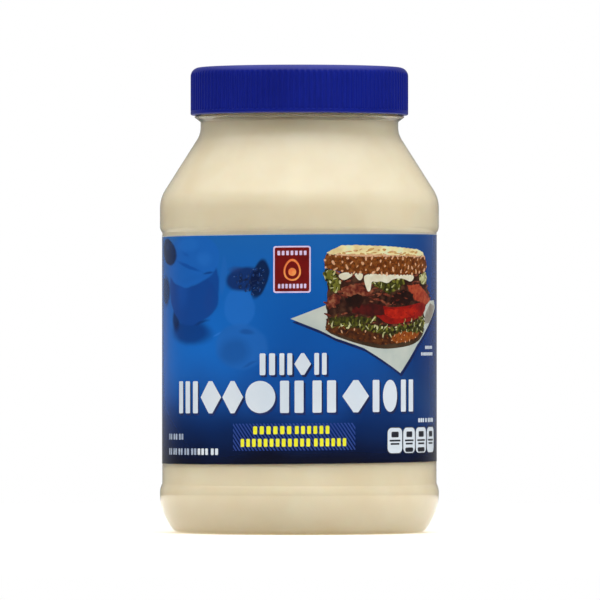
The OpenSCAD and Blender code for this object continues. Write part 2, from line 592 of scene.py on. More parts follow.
@dataclass(frozen=True)
class PrintedFilm(Finish):
    """Polypropylene film, gravure printed in blue: a gradient from sky blue to navy under a satin lacquer.

    The gradients are heights above the label's foot with their colours.
    """

    radius: float
    foot: float
    height: float
    skew: float
    spots: tuple[SoftSpot, ...]
    left: tuple[tuple[float, str], ...] = (
        (0.0, "#03061c"),
        (3.0, "#020926"),
        (9.0, "#031f4e"),
        (16.0, "#0a2d68"),
        (24.0, "#1a55a6"),
        (38.0, "#166fce"),
        (56.0, "#1263bc"),
        (77.0, "#1f68b6"),
    )
    right: tuple[tuple[float, str], ...] = (
        (0.0, "#02051c"),
        (3.0, "#030823"),
        (9.0, "#081f4b"),
        (16.0, "#113877"),
        (24.0, "#1b4076"),
        (36.0, "#0e3171"),
        (56.0, "#103a80"),
        (77.0, "#1f4e93"),
    )
    right_from: float = 6.0
    right_to: float = 44.0
    cloud: float = 26.0
    drift: float = 14.0
    wander_grain: float = 7.0
    wander: float = 1.6
    ripple: float = 9.0
    ripple_depth: float = 0.02
    roughness: float = 0.14
    ior: float = 1.49

    def unwrapped(self, tree: bpy.types.NodeTree, split: bpy.types.Node) -> bpy.types.NodeSocket:
        """Gives the label's own u and v, with a little wander so that soft shapes don't look ruled.

        Args:
            tree: the material's tree.
            split: the node that holds the separate Object coordinates.

        Returns:
            The vector (u, v, 0) in metres.
        """
        ahead = add_node(tree, "ShaderNodeMath", {0: split.outputs["Y"], 1: -1.0}, operation="MULTIPLY")
        angle = add_node(tree, "ShaderNodeMath", {0: split.outputs["X"], 1: ahead}, operation="ARCTAN2")
        u = add_node(tree, "ShaderNodeMath", {0: angle, 1: self.radius * MM}, operation="MULTIPLY")
        rise = add_node(
            tree,
            "ShaderNodeMath",
            {0: split.outputs["X"], 1: -self.skew, 2: split.outputs["Z"]},
            operation="MULTIPLY_ADD",
        )
        v = add_node(tree, "ShaderNodeMath", {0: rise, 1: self.foot * MM}, operation="SUBTRACT")
        place = add_node(tree, "ShaderNodeCombineXYZ", {0: u, 1: v})
        wander = add_node(
            tree,
            "ShaderNodeTexNoise",
            {"Vector": place, "Scale": 1 / (self.wander_grain * MM), "Detail": 2.0},
        )
        centred = add_node(
            tree,
            "ShaderNodeVectorMath",
            {0: wander.outputs["Color"], 1: (0.5, 0.5, 0.5)},
            operation="SUBTRACT",
        )
        small = add_node(
            tree,
            "ShaderNodeVectorMath",
            {0: centred, 1: (self.wander * MM, self.wander * MM, 0)},
            operation="MULTIPLY",
        )
        moved = add_node(tree, "ShaderNodeVectorMath", {0: place, 1: small}, operation="ADD")
        return moved.outputs[0]

    def material(self) -> bpy.types.Material:
        """Makes the material, with the darker gradient at the label's right and the soft picture on it.

        Returns:
            The material.
        """
        material, tree, shader, place = self.start()
        split = add_node(tree, "ShaderNodeSeparateXYZ", {0: place})
        cloud = add_node(
            tree, "ShaderNodeTexNoise", {"Vector": place, "Scale": 1 / (self.cloud * MM), "Detail": 1.0}
        )
        drift = add_node(
            tree,
            "ShaderNodeMath",
            {0: cloud.outputs["Fac"], 1: self.drift * MM, 2: split.outputs["Z"]},
            operation="MULTIPLY_ADD",
        )
        level = add_node(
            tree,
            "ShaderNodeMapRange",
            {
                "Value": drift,
                "From Min": (self.foot + self.drift / 2) * MM,
                "From Max": (self.foot + self.drift / 2 + self.height) * MM,
            },
        )
        sides = []
        for stops in (self.left, self.right):
            ramp = add_node(tree, "ShaderNodeValToRGB", {"Fac": level})
            ramp.color_ramp.interpolation = "B_SPLINE"
            while len(ramp.color_ramp.elements) < len(stops):
                ramp.color_ramp.elements.new(0.5)
            for element, (height, colour) in zip(ramp.color_ramp.elements, stops):
                element.position = height / self.height
                element.color = linear(colour)
            sides.append(ramp.outputs["Color"])
        across = add_node(
            tree,
            "ShaderNodeMapRange",
            {"Value": split.outputs["X"], "From Min": self.right_from * MM, "From Max": self.right_to * MM},
            interpolation_type="SMOOTHSTEP",
        )
        mixed = add_node(
            tree, "ShaderNodeMix", {"Factor": across, "A": sides[0], "B": sides[1]}, data_type="RGBA"
        )
        flat = self.unwrapped(tree, split)
        colour = mixed.outputs["Result"]
        for spot in self.spots:
            colour = spot.over(tree, flat, colour)
        ripple = add_node(
            tree, "ShaderNodeTexNoise", {"Vector": place, "Scale": 1 / (self.ripple * MM), "Detail": 2.0}
        )
        bump = add_node(
            tree, "ShaderNodeBump", {"Height": ripple.outputs["Fac"], "Distance": self.ripple_depth * MM}
        )
        tree.links.new(colour, shader.inputs["Base Color"])
        tree.links.new(bump.outputs[0], shader.inputs["Normal"])
        shader.inputs["Roughness"].default_value = self.roughness
        shader.inputs["IOR"].default_value = self.ior
        return material


@dataclass(frozen=True)
class GravureInk(Finish):
    """One gravure ink on the film: its tone varies in small patches, as the picture's own does."""

    tones: tuple[str, ...]
    grain: float
    ripple: float = 9.0
    ripple_depth: float = 0.02
    roughness: float = 0.3
    ior: float = 1.49

    def material(self) -> bpy.types.Material:
        """Makes the material, under the same satin lacquer as the film.

        Returns:
            The material.
        """
        material, tree, shader, place = self.start()
        tree.links.new(self.mottle(tree, place, self.grain, self.tones), shader.inputs["Base Color"])
        ripple = add_node(
            tree, "ShaderNodeTexNoise", {"Vector": place, "Scale": 1 / (self.ripple * MM), "Detail": 2.0}
        )
        bump = add_node(
            tree, "ShaderNodeBump", {"Height": ripple.outputs["Fac"], "Distance": self.ripple_depth * MM}
        )
        tree.links.new(bump.outputs[0], shader.inputs["Normal"])
        shader.inputs["Roughness"].default_value = self.roughness
        shader.inputs["IOR"].default_value = self.ior
        return material


class Ink(Enum):
    """The label's inks: each one's tones from dark to light, and the size of its patches."""

    # a pale band along the film's top edge: a painted highlight for the thin light line where the upper
    # bumper meets the label
    EDGE_HIGHLIGHT = (("#cfd2cc", "#dcdfd8"), 8.0)
    WHITE = (("#d4e0ec", "#dee6ee"), 16.0)
    SHADOW = (("#06194a", "#0a2461"), 12.0)
    YELLOW = (("#eeea20", "#f8f53c"), 5.0)
    BADGE_RED = (("#680505", "#7c0a08"), 5.0)
    BADGE_LILAC = (("#d8c6ea", "#e8d6f5"), 5.0)
    YOLK = (("#f0743f", "#ffab5c"), 3.0)
    FACT_BLACK = (("#0b0f1c", "#161b2b"), 4.0)
    FACT_GREY = (("#8f9fb8", "#b4c0d2"), 3.0)
    STRIPE = (("#153586", "#1d4091"), 6.0)
    GHOST_LIGHT = (("#3a5a8c", "#5877a8"), 3.0)
    GHOST_MID = (("#173f84", "#1d4a94"), 3.0)
    GHOST_DEEP = (("#071c45", "#0d2857"), 3.0)
    NAPKIN = (("#b7c2bc", "#c8cec5"), 9.0)
    NAPKIN_FOLD = (("#837b72", "#a7a398"), 6.0)
    NAPKIN_SHADE = (("#2f2010", "#4b3825"), 5.0)
    TOAST = (("#e3cd93", "#f1e6ac", "#e1e9c2"), 5.0)
    TOAST_BROWN = (("#c5904a", "#d6ae6a"), 2.5)
    CRUST = (("#562504", "#70390b", "#915523"), 1.3)
    CRUST_DARK = (("#290c02", "#472007", "#5f320f"), 1.6)
    CRUST_LIT = (("#7d3404", "#9f561b"), 1.2)
    OAT = (("#cd9a6d", "#eaba96"), 0.9)
    CREAM = (("#d9d1b5", "#e5e3cd"), 2.5)
    LEAF_DARK = (("#191603", "#34330a", "#535312"), 1.2)
    LEAF = (("#545512", "#818031"), 1.1)
    LEAF_PALE = (("#a9aa6d", "#d8d6a8"), 1.2)
    FILLING = (("#160602", "#35160c", "#513423"), 2.2)
    BACON = (("#48150e", "#732e1f", "#975d40"), 1.5)
    HAM_DARK = (("#150402", "#280c04"), 2.0)
    TOMATO_DARK = (("#2c0907", "#56100c"), 2.4)
    TOMATO = (("#6f0804", "#981106"), 2.6)
    TOMATO_BRIGHT = (("#9c1104", "#bb230e"), 2.2)
    TOMATO_EDGE = (("#902616", "#b45333"), 1.3)

    @property
    def finish(self) -> GravureInk:
        """The ink's finish."""
        return GravureInk(f"gravure_ink_{self.name.lower()}", *self.value)


# ---------------------------------------------------------------- the jar


@dataclass(frozen=True)
class Lathe:
    """Turns a profile round the Z axis into a closed skin, with ribs and skew where it's given them."""

    columns: int = 256
    ribs: int = 0
    rib_valley: float = 0.0
    rib_foot: float = 0.0
    tip_share: float = 0.3
    root_share: float = 0.6
    skew: float = 0.0

    def tree(self) -> bpy.types.NodeTree:
        """Builds the tree. Its inputs are the sizes above, in metres, and the material.

        Returns:
            The tree. Its geometry input is the profile: points with the radius as X and the height as Z.
        """
        tree, given = geometry_tree(
            "turned_skin",
            {
                "Columns": "Int",
                "Ribs": "Int",
                "Rib Valley": "Float",
                "Rib Foot": "Float",
                "Tip Share": "Float",
                "Root Share": "Float",
                "Skew": "Float",
                "Material": "Material",
            },
        )
        count = add_node(tree, "GeometryNodeAttributeDomainSize", {0: given.outputs["Geometry"]})
        rows = count.outputs["Point Count"]
        across = add_node(tree, "ShaderNodeMath", {0: given.outputs["Columns"], 1: 1.0}, operation="ADD")
        grid = add_node(
            tree,
            "GeometryNodeMeshGrid",
            {"Size X": 1.0, "Size Y": 1.0, "Vertices X": across, "Vertices Y": rows},
        )
        index = add_node(tree, "GeometryNodeInputIndex").outputs[0]
        halved = add_node(tree, "ShaderNodeMath", {0: index, 1: 0.5}, operation="ADD")
        ratio = add_node(tree, "ShaderNodeMath", {0: halved, 1: rows}, operation="DIVIDE")
        column = add_node(tree, "ShaderNodeMath", {0: ratio}, operation="FLOOR").outputs[0]
        passed = add_node(tree, "ShaderNodeMath", {0: column, 1: rows}, operation="MULTIPLY")
        row = add_node(tree, "ShaderNodeMath", {0: index, 1: passed}, operation="SUBTRACT")
        place = add_node(tree, "GeometryNodeInputPosition").outputs[0]
        point = add_node(
            tree,
            "GeometryNodeSampleIndex",
            {"Geometry": given.outputs["Geometry"], "Value": place, "Index": row},
            data_type="FLOAT_VECTOR",
            domain="POINT",
        )
        split = add_node(tree, "ShaderNodeSeparateXYZ", {0: point})
        share = add_node(
            tree, "ShaderNodeMath", {0: column, 1: given.outputs["Columns"]}, operation="DIVIDE"
        )
        pitch = add_node(
            tree, "ShaderNodeMath", {0: share, 1: given.outputs["Ribs"], 2: 0.5}, operation="MULTIPLY_ADD"
        )
        within = add_node(tree, "ShaderNodeMath", {0: pitch}, operation="FRACT")
        centred = add_node(tree, "ShaderNodeMath", {0: within, 1: 0.5}, operation="SUBTRACT")
        aside = add_node(tree, "ShaderNodeMath", {0: centred}, operation="ABSOLUTE")
        off = add_node(tree, "ShaderNodeMath", {0: aside, 1: 2.0}, operation="MULTIPLY")
        proud = add_node(
            tree,
            "ShaderNodeMapRange",
            {
                "Value": off,
                "From Min": given.outputs["Root Share"],
                "From Max": given.outputs["Tip Share"],
                "To Min": 0.0,
                "To Max": 1.0,
            },
        )
        plain = add_node(
            tree,
            "ShaderNodeMath",
            {0: split.outputs["Z"], 1: given.outputs["Rib Foot"]},
            operation="LESS_THAN",
        )
        kept = add_node(tree, "ShaderNodeMath", {0: proud, 1: plain}, operation="MAXIMUM")
        low = add_node(
            tree,
            "ShaderNodeMath",
            {0: split.outputs["X"], 1: given.outputs["Rib Valley"]},
            operation="MINIMUM",
        )
        spare = add_node(tree, "ShaderNodeMath", {0: split.outputs["X"], 1: low}, operation="SUBTRACT")
        radius = add_node(
            tree, "ShaderNodeMath", {0: spare, 1: kept, 2: low}, operation="MULTIPLY_ADD"
        ).outputs[0]
        angle = add_node(tree, "ShaderNodeMath", {0: share, 1: 2 * math.pi}, operation="MULTIPLY")
        sine = add_node(tree, "ShaderNodeMath", {0: angle}, operation="SINE")
        cosine = add_node(tree, "ShaderNodeMath", {0: angle}, operation="COSINE")
        x = add_node(tree, "ShaderNodeMath", {0: radius, 1: sine}, operation="MULTIPLY").outputs[0]
        ahead = add_node(tree, "ShaderNodeMath", {0: radius, 1: cosine}, operation="MULTIPLY")
        y = add_node(tree, "ShaderNodeMath", {0: ahead, 1: -1.0}, operation="MULTIPLY").outputs[0]
        z = add_node(
            tree,
            "ShaderNodeMath",
            {0: x, 1: given.outputs["Skew"], 2: split.outputs["Z"]},
            operation="MULTIPLY_ADD",
        ).outputs[0]
        where = add_node(tree, "ShaderNodeCombineXYZ", {0: x, 1: y, 2: z})
        turned = add_node(
            tree, "GeometryNodeSetPosition", {"Geometry": grid.outputs["Mesh"], "Position": where}
        )
        closed = add_node(tree, "GeometryNodeMergeByDistance", {"Geometry": turned, "Distance": 0.001 * MM})
        end_tree(tree, closed.outputs[0], given.outputs["Material"])
        return tree

    def turn(self, name: str, profile: Outline, finish: bpy.types.Material) -> bpy.types.Object:
        """Turns a profile into a piece.

        Args:
            name: the piece's name.
            profile: its points, which keep the material on their left as they run.
            finish: its material.

        Returns:
            The piece.
        """
        mesh = bpy.data.meshes.new(name + "_profile")
        mesh.from_pydata([(r * MM, 0, z * MM) for r, z in profile], [], [])
        values = {
            "Columns": self.columns,
            "Ribs": self.ribs,
            "Rib Valley": self.rib_valley * MM,
            "Rib Foot": self.rib_foot * MM,
            "Tip Share": self.tip_share,
            "Root Share": self.root_share,
            "Skew": self.skew,
            "Material": finish,
        }
        return grow(name, mesh, self.tree(), values)


@dataclass
class JarBody:
    """The blown jar and the mayonnaise that fills it to the rim."""

    body_r: float = 47.4
    rim_h: float = 156.6
    wall: float = 0.7
    heel_h: float = 13.5
    heel_r: float = 20.0
    foot_r: float = 4.0
    ring_w: float = 4.0
    pushup_h: float = 4.0
    panel_depth: float = 0.8
    lower_roll_r: float = 6.8
    upper_roll_r: float = 3.2
    band_h: float = 9.6
    shoulder_h: float = 21.8
    shoulder_low_r: float = 11.6
    shoulder_top_r: float = 7.7
    neck_r: float = 33.6
    neck_h: float = 4.1
    bead_out: float = 2.0
    bead_h: float = 1.9
    bead_edge_h: float = 0.4
    finish_h: float = 15.2
    finish_wall: float = 1.6
    rim_r: float = 0.4
    bead_round: float = 0.15
    gate_r: float = 2.4
    gate_h: float = 0.6
    gate_round: float = 0.2
    grip: float = 0.12
    fill_gap: float = 0.02

    @classmethod
    def from_frame(cls) -> "JarBody":
        """Makes the jar with the frame's own radius and height."""
        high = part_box("jar")[1]
        return cls(body_r=round(high.x / MM, 2), rim_h=round(high.z / MM, 2))

    @cached_property
    def bead_top_z(self) -> float:
        """The height of the bead's top, which the cap comes down to."""
        return self.rim_h - self.finish_h

    @cached_property
    def shoulder_top_z(self) -> float:
        """The height of the corner between shoulder and neck."""
        return self.bead_top_z - self.bead_h - self.neck_h

    @cached_property
    def shoulder_low_z(self) -> float:
        """The height of the corner between bumper and shoulder."""
        return self.shoulder_top_z - self.shoulder_h

    @cached_property
    def band_z(self) -> float:
        """The height at which the upper bumper starts."""
        return self.shoulder_low_z - self.band_h

    @cached_property
    def foot_c(self) -> Point:
        """The centre of the foot's small curve."""
        drop = (self.heel_r - self.foot_r) ** 2 - (self.heel_h - self.foot_r) ** 2
        return self.body_r - self.heel_r + math.sqrt(drop), self.foot_r

    def roll(self, radius: float) -> float:
        """Gives how far round its roll a bumper runs before it meets the label panel."""
        return math.degrees(math.acos(1 - self.panel_depth / radius))

    def dome(self, t: float) -> Outline:
        """Gives the push-up's profile.

        Args:
            t: how far it is raised.

        Returns:
            The profile, from the axis to the ring.
        """
        ring = self.foot_c[0] - self.ring_w
        radius = (ring**2 + self.pushup_h**2) / (2 * self.pushup_h)
        low = self.pushup_h - radius
        return arc((0, low), radius + t, 90, math.degrees(math.asin((t - low) / (radius + t))), 12)

    def side(self, t: float, neck_t: float) -> Outline:
        """Gives the profile from the foot to the neck.

        Args:
            t: how far it lies inside the body's outer face.
            neck_t: how far it lies inside the neck's outer face.

        Returns:
            The profile, from the bottom up.
        """
        heel_c = (self.body_r - self.heel_r, self.heel_h)
        foot = self.foot_c
        turn = math.degrees(math.atan2(foot[1] - heel_c[1], foot[0] - heel_c[0]))
        half_lean = math.atan2(self.body_r - self.neck_r, self.shoulder_h) / 2
        low = (self.body_r - t, self.shoulder_low_z - t * math.tan(half_lean))
        top = (self.neck_r - neck_t, self.shoulder_top_z - neck_t * math.tan(half_lean))
        lower, upper = self.lower_roll_r, self.upper_roll_r
        return [
            *arc(foot, self.foot_r - t, -90, turn, 8),
            *arc(heel_c, self.heel_r - t, turn, 0, 12),
            *arc((self.body_r - lower, self.heel_h), lower - t, 0, self.roll(lower), 8),
            *arc((self.body_r - upper, self.band_z), upper - t, -self.roll(upper), 0, 8),
            *fillet((low[0], self.band_z), low, top, self.shoulder_low_r - t, 12),
            *fillet(low, top, (top[0], self.rim_h), self.shoulder_top_r + neck_t, 12),
        ]

    def mouth(self) -> Outline:
        """Gives the profile of the bead, the mouth's outside and its rim.

        Returns:
            The profile, from the bottom up.
        """
        r, rim = self.neck_r, self.rim_r
        inner = r - self.finish_wall
        root = (r, self.bead_top_z - self.bead_h)
        edge = (r + self.bead_out, self.bead_top_z - self.bead_edge_h)
        top = (r + self.bead_out, self.bead_top_z)
        return [
            root,
            *fillet(root, edge, top, self.bead_round, 3),
            top,
            (r, self.bead_top_z),
            *arc((r - rim, self.rim_h - rim), rim, 0, 90, 4),
            *arc((inner + rim, self.rim_h - rim), rim, 90, 180, 4),
        ]

    def gate(self) -> Outline:
        """Gives the profile of the moulding gate's nub under the middle of the base.

        Returns:
            The profile, from the axis outwards.
        """
        low, r = self.pushup_h - self.gate_h, self.gate_r
        return [(0, low), (r * 0.8, low), (r, low + self.gate_round), (r, self.pushup_h)]

    def build_wall(self) -> bpy.types.Object:
        """Builds the clear wall, inside and out, and dresses it.

        Returns:
            The wall.
        """
        base = [point for point in self.dome(0) if point[0] > self.gate_r]
        outer = [*self.gate(), *base, *self.side(0, 0), *self.mouth()]
        inner = [*self.dome(self.wall), *self.side(self.wall, self.finish_wall)]
        return Lathe().turn("jar_wall", outer + inner[::-1], BlownPolyester("blown_pet_clear").material())

    def build_fill(self) -> bpy.types.Object:
        """Builds the mayonnaise, which reaches just into the wall so that no air gap shows, and dresses it.

        Returns:
            The mayonnaise.
        """
        t, neck_t = self.wall - self.grip, self.finish_wall - self.grip
        top = self.rim_h - self.fill_gap
        profile = [*self.dome(t), *self.side(t, neck_t), (self.neck_r - neck_t, top), (0, top)]
        return Lathe().turn("mayonnaise_fill", profile, WhippedEmulsion("mayonnaise_whipped").material())


@dataclass
class ScrewCap:
    """The ribbed screw cap with a plain band round its foot."""

    tip_r: float
    low_z: float
    top_z: float
    in_r: float = 35.6
    top_t: float = 1.4
    edge_r: float = 3.0
    lip_r: float = 0.5
    band_h: float = 1.4
    ledge: float = 0.15
    groove: float = 0.02
    ribs: int = 120
    rib_depth: float = 0.3
    dish_r: float = 31.0
    dish_depth: float = 0.25
    mark_out_r: float = 2.2
    mark_in_r: float = 0.9
    mark_depth: float = 0.12

    @classmethod
    def from_frame(cls) -> "ScrewCap":
        """Makes the cap with the frame's own radius and heights."""
        low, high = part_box("cap")
        return cls(tip_r=round(high.x / MM, 2), low_z=round(low.z / MM, 2), top_z=round(high.z / MM, 2))

    @cached_property
    def band_z(self) -> float:
        """The height of the plain band's top, where the ribs start."""
        return self.low_z + self.band_h

    def profile(self) -> Outline:
        """Gives the cap's profile.

        Returns:
            The profile: out under the top, down the bore, up round the outside and in over the dished top.
        """
        dish = self.top_z - self.dish_depth
        rim_z = self.top_z - self.top_t
        return [
            (0, rim_z),
            (self.in_r, rim_z),
            (self.in_r, self.low_z),
            *arc((self.tip_r - self.lip_r, self.low_z + self.lip_r), self.lip_r, -90, 0, 4),
            (self.tip_r, self.band_z - self.ledge),
            (self.tip_r - self.groove, self.band_z),
            (self.tip_r, self.band_z + self.ledge),
            *[(self.tip_r, self.band_z + 0.5 + 2.0 * i) for i in range(6)],
            *arc((self.tip_r - self.edge_r, self.top_z - self.edge_r), self.edge_r, 0, 90, 12),
            (self.dish_r + 0.5, self.top_z),
            (self.dish_r, self.top_z - 0.06),
            (self.dish_r - 0.6, dish),
            (12.0, dish),
            (self.mark_out_r, dish),
            (self.mark_out_r - 0.3, dish - self.mark_depth),
            (self.mark_in_r + 0.2, dish - self.mark_depth),
            (self.mark_in_r, dish),
            (0, dish),
        ]

    def build(self) -> bpy.types.Object:
        """Builds the cap, with ten facets to a rib, and dresses it.

        Returns:
            The cap.
        """
        lathe = Lathe(10 * self.ribs, self.ribs, self.tip_r - self.rib_depth, self.band_z + 0.05)
        finish = MouldedPolypropylene("moulded_polypropylene_blue").material()
        return lathe.turn("screw_cap", self.profile(), finish)


# ---------------------------------------------------------------- the label


@dataclass
class Laid:
    """Outlines of one ink, printed together at one level, and the box that they fill."""

    ink: Ink
    outlines: list[Outline]
    level: int
    low: Point
    high: Point

    def meets(self, other: "Laid") -> bool:
        """Tells whether two boxes overlap."""
        return all(self.low[i] < other.high[i] and self.high[i] > other.low[i] for i in (0, 1))


@dataclass
class PrintSheet:
    """What is printed on the film. Each shape lies a few micrometres above what it covers."""

    radius: float
    foot: float
    skew: float
    step: float = 0.004
    sink: float = 0.006
    facets: int = 360
    laid: list[Laid] = field(default_factory=list)

    def lay(self, ink: Ink, *outlines: Outline) -> None:
        """Prints outlines in one ink over all that they may cover.

        Args:
            ink: the ink.
            outlines: the outlines, which don't overlap each other.
        """
        us = [u for outline in outlines for u, _ in outline]
        vs = [v for outline in outlines for _, v in outline]
        new = Laid(ink, list(outlines), 1, (min(us), min(vs)), (max(us), max(vs)))
        new.level += max((old.level for old in self.laid if old.meets(new)), default=0)
        self.laid.append(new)

    def flecks_tree(self) -> bpy.types.NodeTree:
        """Builds the tree that strews small flecks over a flat outline.

        Returns:
            The tree, with the flecks' spacing, size and seed as inputs.
        """
        tree, given = geometry_tree(
            "strewn_flecks",
            {
                "Spacing": "Float",
                "Least Size": "Vector",
                "Most Size": "Vector",
                "Turn": "Float",
                "Spread": "Float",
                "Corners": "Int",
                "Warp": "Float",
                "Seed": "Int",
                "Material": "Material",
            },
        )
        spots = add_node(
            tree,
            "GeometryNodeDistributePointsOnFaces",
            {
                "Mesh": given.outputs["Geometry"],
                "Distance Min": given.outputs["Spacing"],
                "Density Max": 4e7,
                "Seed": given.outputs["Seed"],
            },
            distribute_method="POISSON",
        )
        fleck = add_node(
            tree,
            "GeometryNodeMeshCircle",
            {"Vertices": given.outputs["Corners"], "Radius": 0.5},
            fill_type="NGON",
        )
        size = add_node(
            tree,
            "FunctionNodeRandomValue",
            {0: given.outputs["Least Size"], 1: given.outputs["Most Size"], "Seed": given.outputs["Seed"]},
            data_type="FLOAT_VECTOR",
        )
        least = add_node(
            tree,
            "ShaderNodeMath",
            {0: given.outputs["Turn"], 1: given.outputs["Spread"]},
            operation="SUBTRACT",
        )
        most = add_node(
            tree, "ShaderNodeMath", {0: given.outputs["Turn"], 1: given.outputs["Spread"]}, operation="ADD"
        )
        turn = add_node(
            tree,
            "FunctionNodeRandomValue",
            {2: least, 3: most, "Seed": given.outputs["Seed"]},
            data_type="FLOAT",
        )
        way = add_node(tree, "ShaderNodeCombineXYZ", {2: turn.outputs[1]})
        strewn = add_node(
            tree,
            "GeometryNodeInstanceOnPoints",
            {
                "Points": spots.outputs["Points"],
                "Instance": fleck.outputs["Mesh"],
                "Scale": size,
                "Rotation": way,
            },
        )
        real = add_node(tree, "GeometryNodeRealizeInstances", {0: strewn})
        place = add_node(tree, "GeometryNodeInputPosition").outputs[0]
        field_noise = add_node(
            tree, "ShaderNodeTexNoise", {"Vector": place, "Scale": 1 / (1.1 * MM), "Detail": 1.0}
        )
        centred = add_node(
            tree,
            "ShaderNodeVectorMath",
            {0: field_noise.outputs["Color"], 1: (0.5, 0.5, 0.5)},
            operation="SUBTRACT",
        )
        reach = add_node(tree, "ShaderNodeMath", {0: given.outputs["Warp"], 1: 2.0}, operation="MULTIPLY")
        both = add_node(tree, "ShaderNodeCombineXYZ", {0: reach, 1: reach})
        shift = add_node(tree, "ShaderNodeVectorMath", {0: centred, 1: both}, operation="MULTIPLY")
        warped = add_node(tree, "GeometryNodeSetPosition", {"Geometry": real, "Offset": shift})
        end_tree(tree, warped.outputs[0], given.outputs["Material"])
        return tree

    def strew(
        self,
        ink: Ink,
        outline: Outline,
        spacing: float,
        least: Point,
        most: Point,
        seed: int,
        turn: float = 0.0,
        spread: float = 180.0,
        corners: int = 7,
        warp: float = 0.0,
    ) -> None:
        """Strews small flecks of one ink over an outline.

        Args:
            ink: the flecks' ink.
            outline: where they lie.
            spacing: the least distance between two of them.
            least: the smallest one's length and width.
            most: the largest one's length and width.
            seed: what makes this strewing differ from others.
            turn: the way that they lie, from the level.
            spread: how far they stray from that way.
            corners: how many corners each has.
            warp: how far its corners wander.
        """
        mesh = bpy.data.meshes.new("strewn")
        build = bmesh.new()
        build.faces.new([build.verts.new((u * MM, v * MM, 0)) for u, v in self.upright(outline)])
        bmesh.ops.triangulate(build, faces=build.faces[:])
        build.to_mesh(mesh)
        build.free()
        values = {
            "Spacing": spacing * MM,
            "Least Size": (least[0] * MM, least[1] * MM, MM),
            "Most Size": (most[0] * MM, most[1] * MM, MM),
            "Turn": math.radians(turn),
            "Spread": math.radians(spread),
            "Corners": corners,
            "Warp": warp * MM,
            "Seed": seed,
        }
        strewn = grow("strewn", mesh, self.flecks_tree(), values)
        points = [(v.co.x / MM, v.co.y / MM) for v in strewn.data.vertices]
        outlines = [[points[i] for i in face.vertices] for face in strewn.data.polygons]
        bpy.data.objects.remove(strewn)
        if outlines:
            self.lay(ink, *outlines)

    def hatch_tree(self) -> bpy.types.NodeTree:
        """Builds the tree that repeats a slanting stripe.

        Returns:
            The tree, with the stripes' count, pitch, width, height and slant as inputs.
        """
        tree, given = geometry_tree(
            "hatched_stripes",
            {
                "Count": "Int",
                "Pitch": "Float",
                "Width": "Float",
                "Height": "Float",
                "Slant": "Float",
                "Material": "Material",
            },
        )
        step = add_node(tree, "ShaderNodeCombineXYZ", {0: given.outputs["Pitch"]})
        row = add_node(
            tree, "GeometryNodeMeshLine", {"Count": given.outputs["Count"], "Offset": step}, mode="OFFSET"
        )
        bar = add_node(
            tree,
            "GeometryNodeMeshGrid",
            {
                "Size X": given.outputs["Width"],
                "Size Y": given.outputs["Height"],
                "Vertices X": 2,
                "Vertices Y": 2,
            },
        )
        way = add_node(tree, "ShaderNodeCombineXYZ", {2: given.outputs["Slant"]})
        bars = add_node(
            tree,
            "GeometryNodeInstanceOnPoints",
            {"Points": row, "Instance": bar.outputs["Mesh"], "Rotation": way},
        )
        end_tree(tree, bars.outputs[0], given.outputs["Material"])
        return tree

    def hatch(self, ink: Ink, low: Point, high: Point, pitch: float, width: float, slant: float) -> None:
        """Prints slanting stripes in a box.

        Args:
            ink: the stripes' ink.
            low: the box's lower left corner.
            high: its upper right corner.
            pitch: the distance between two stripes, along the box.
            width: a stripe's width.
            slant: how far a stripe leans to the left from the upright.
        """
        tall = high[1] - low[1]
        lean = math.tan(math.radians(slant)) * tall
        count = int((high[0] - low[0] + abs(lean)) / pitch)
        mesh = bpy.data.meshes.new("hatched")
        values = {
            "Count": count,
            "Pitch": pitch * MM,
            "Width": width * MM,
            "Height": tall * 2 / math.cos(math.radians(slant)) * MM,
            "Slant": math.radians(slant),
        }
        bars = grow("hatched", mesh, self.hatch_tree(), values)
        build = bmesh.new()
        build.from_mesh(bars.data)
        bpy.data.objects.remove(bars)
        shift = Vector(((low[0] - abs(lean) / 2) * MM, (low[1] + high[1]) / 2 * MM, 0))
        bmesh.ops.translate(build, verts=build.verts[:], vec=shift)
        for corner, out in ((low, -1), (high, 1)):
            for way in (Vector((out, 0, 0)), Vector((0, out, 0))):
                bmesh.ops.bisect_plane(
                    build,
                    geom=build.verts[:] + build.edges[:] + build.faces[:],
                    plane_co=(corner[0] * MM, corner[1] * MM, 0),
                    plane_no=way,
                    clear_outer=True,
                )
        outlines = [[(v.co.x / MM, v.co.y / MM) for v in face.verts] for face in build.faces]
        build.free()
        self.lay(ink, *outlines)

    def upright(self, outline: Outline) -> Outline:
        """Gives the outline, run so that its face looks outwards."""
        return outline if signed_area(outline) > 0 else outline[::-1]

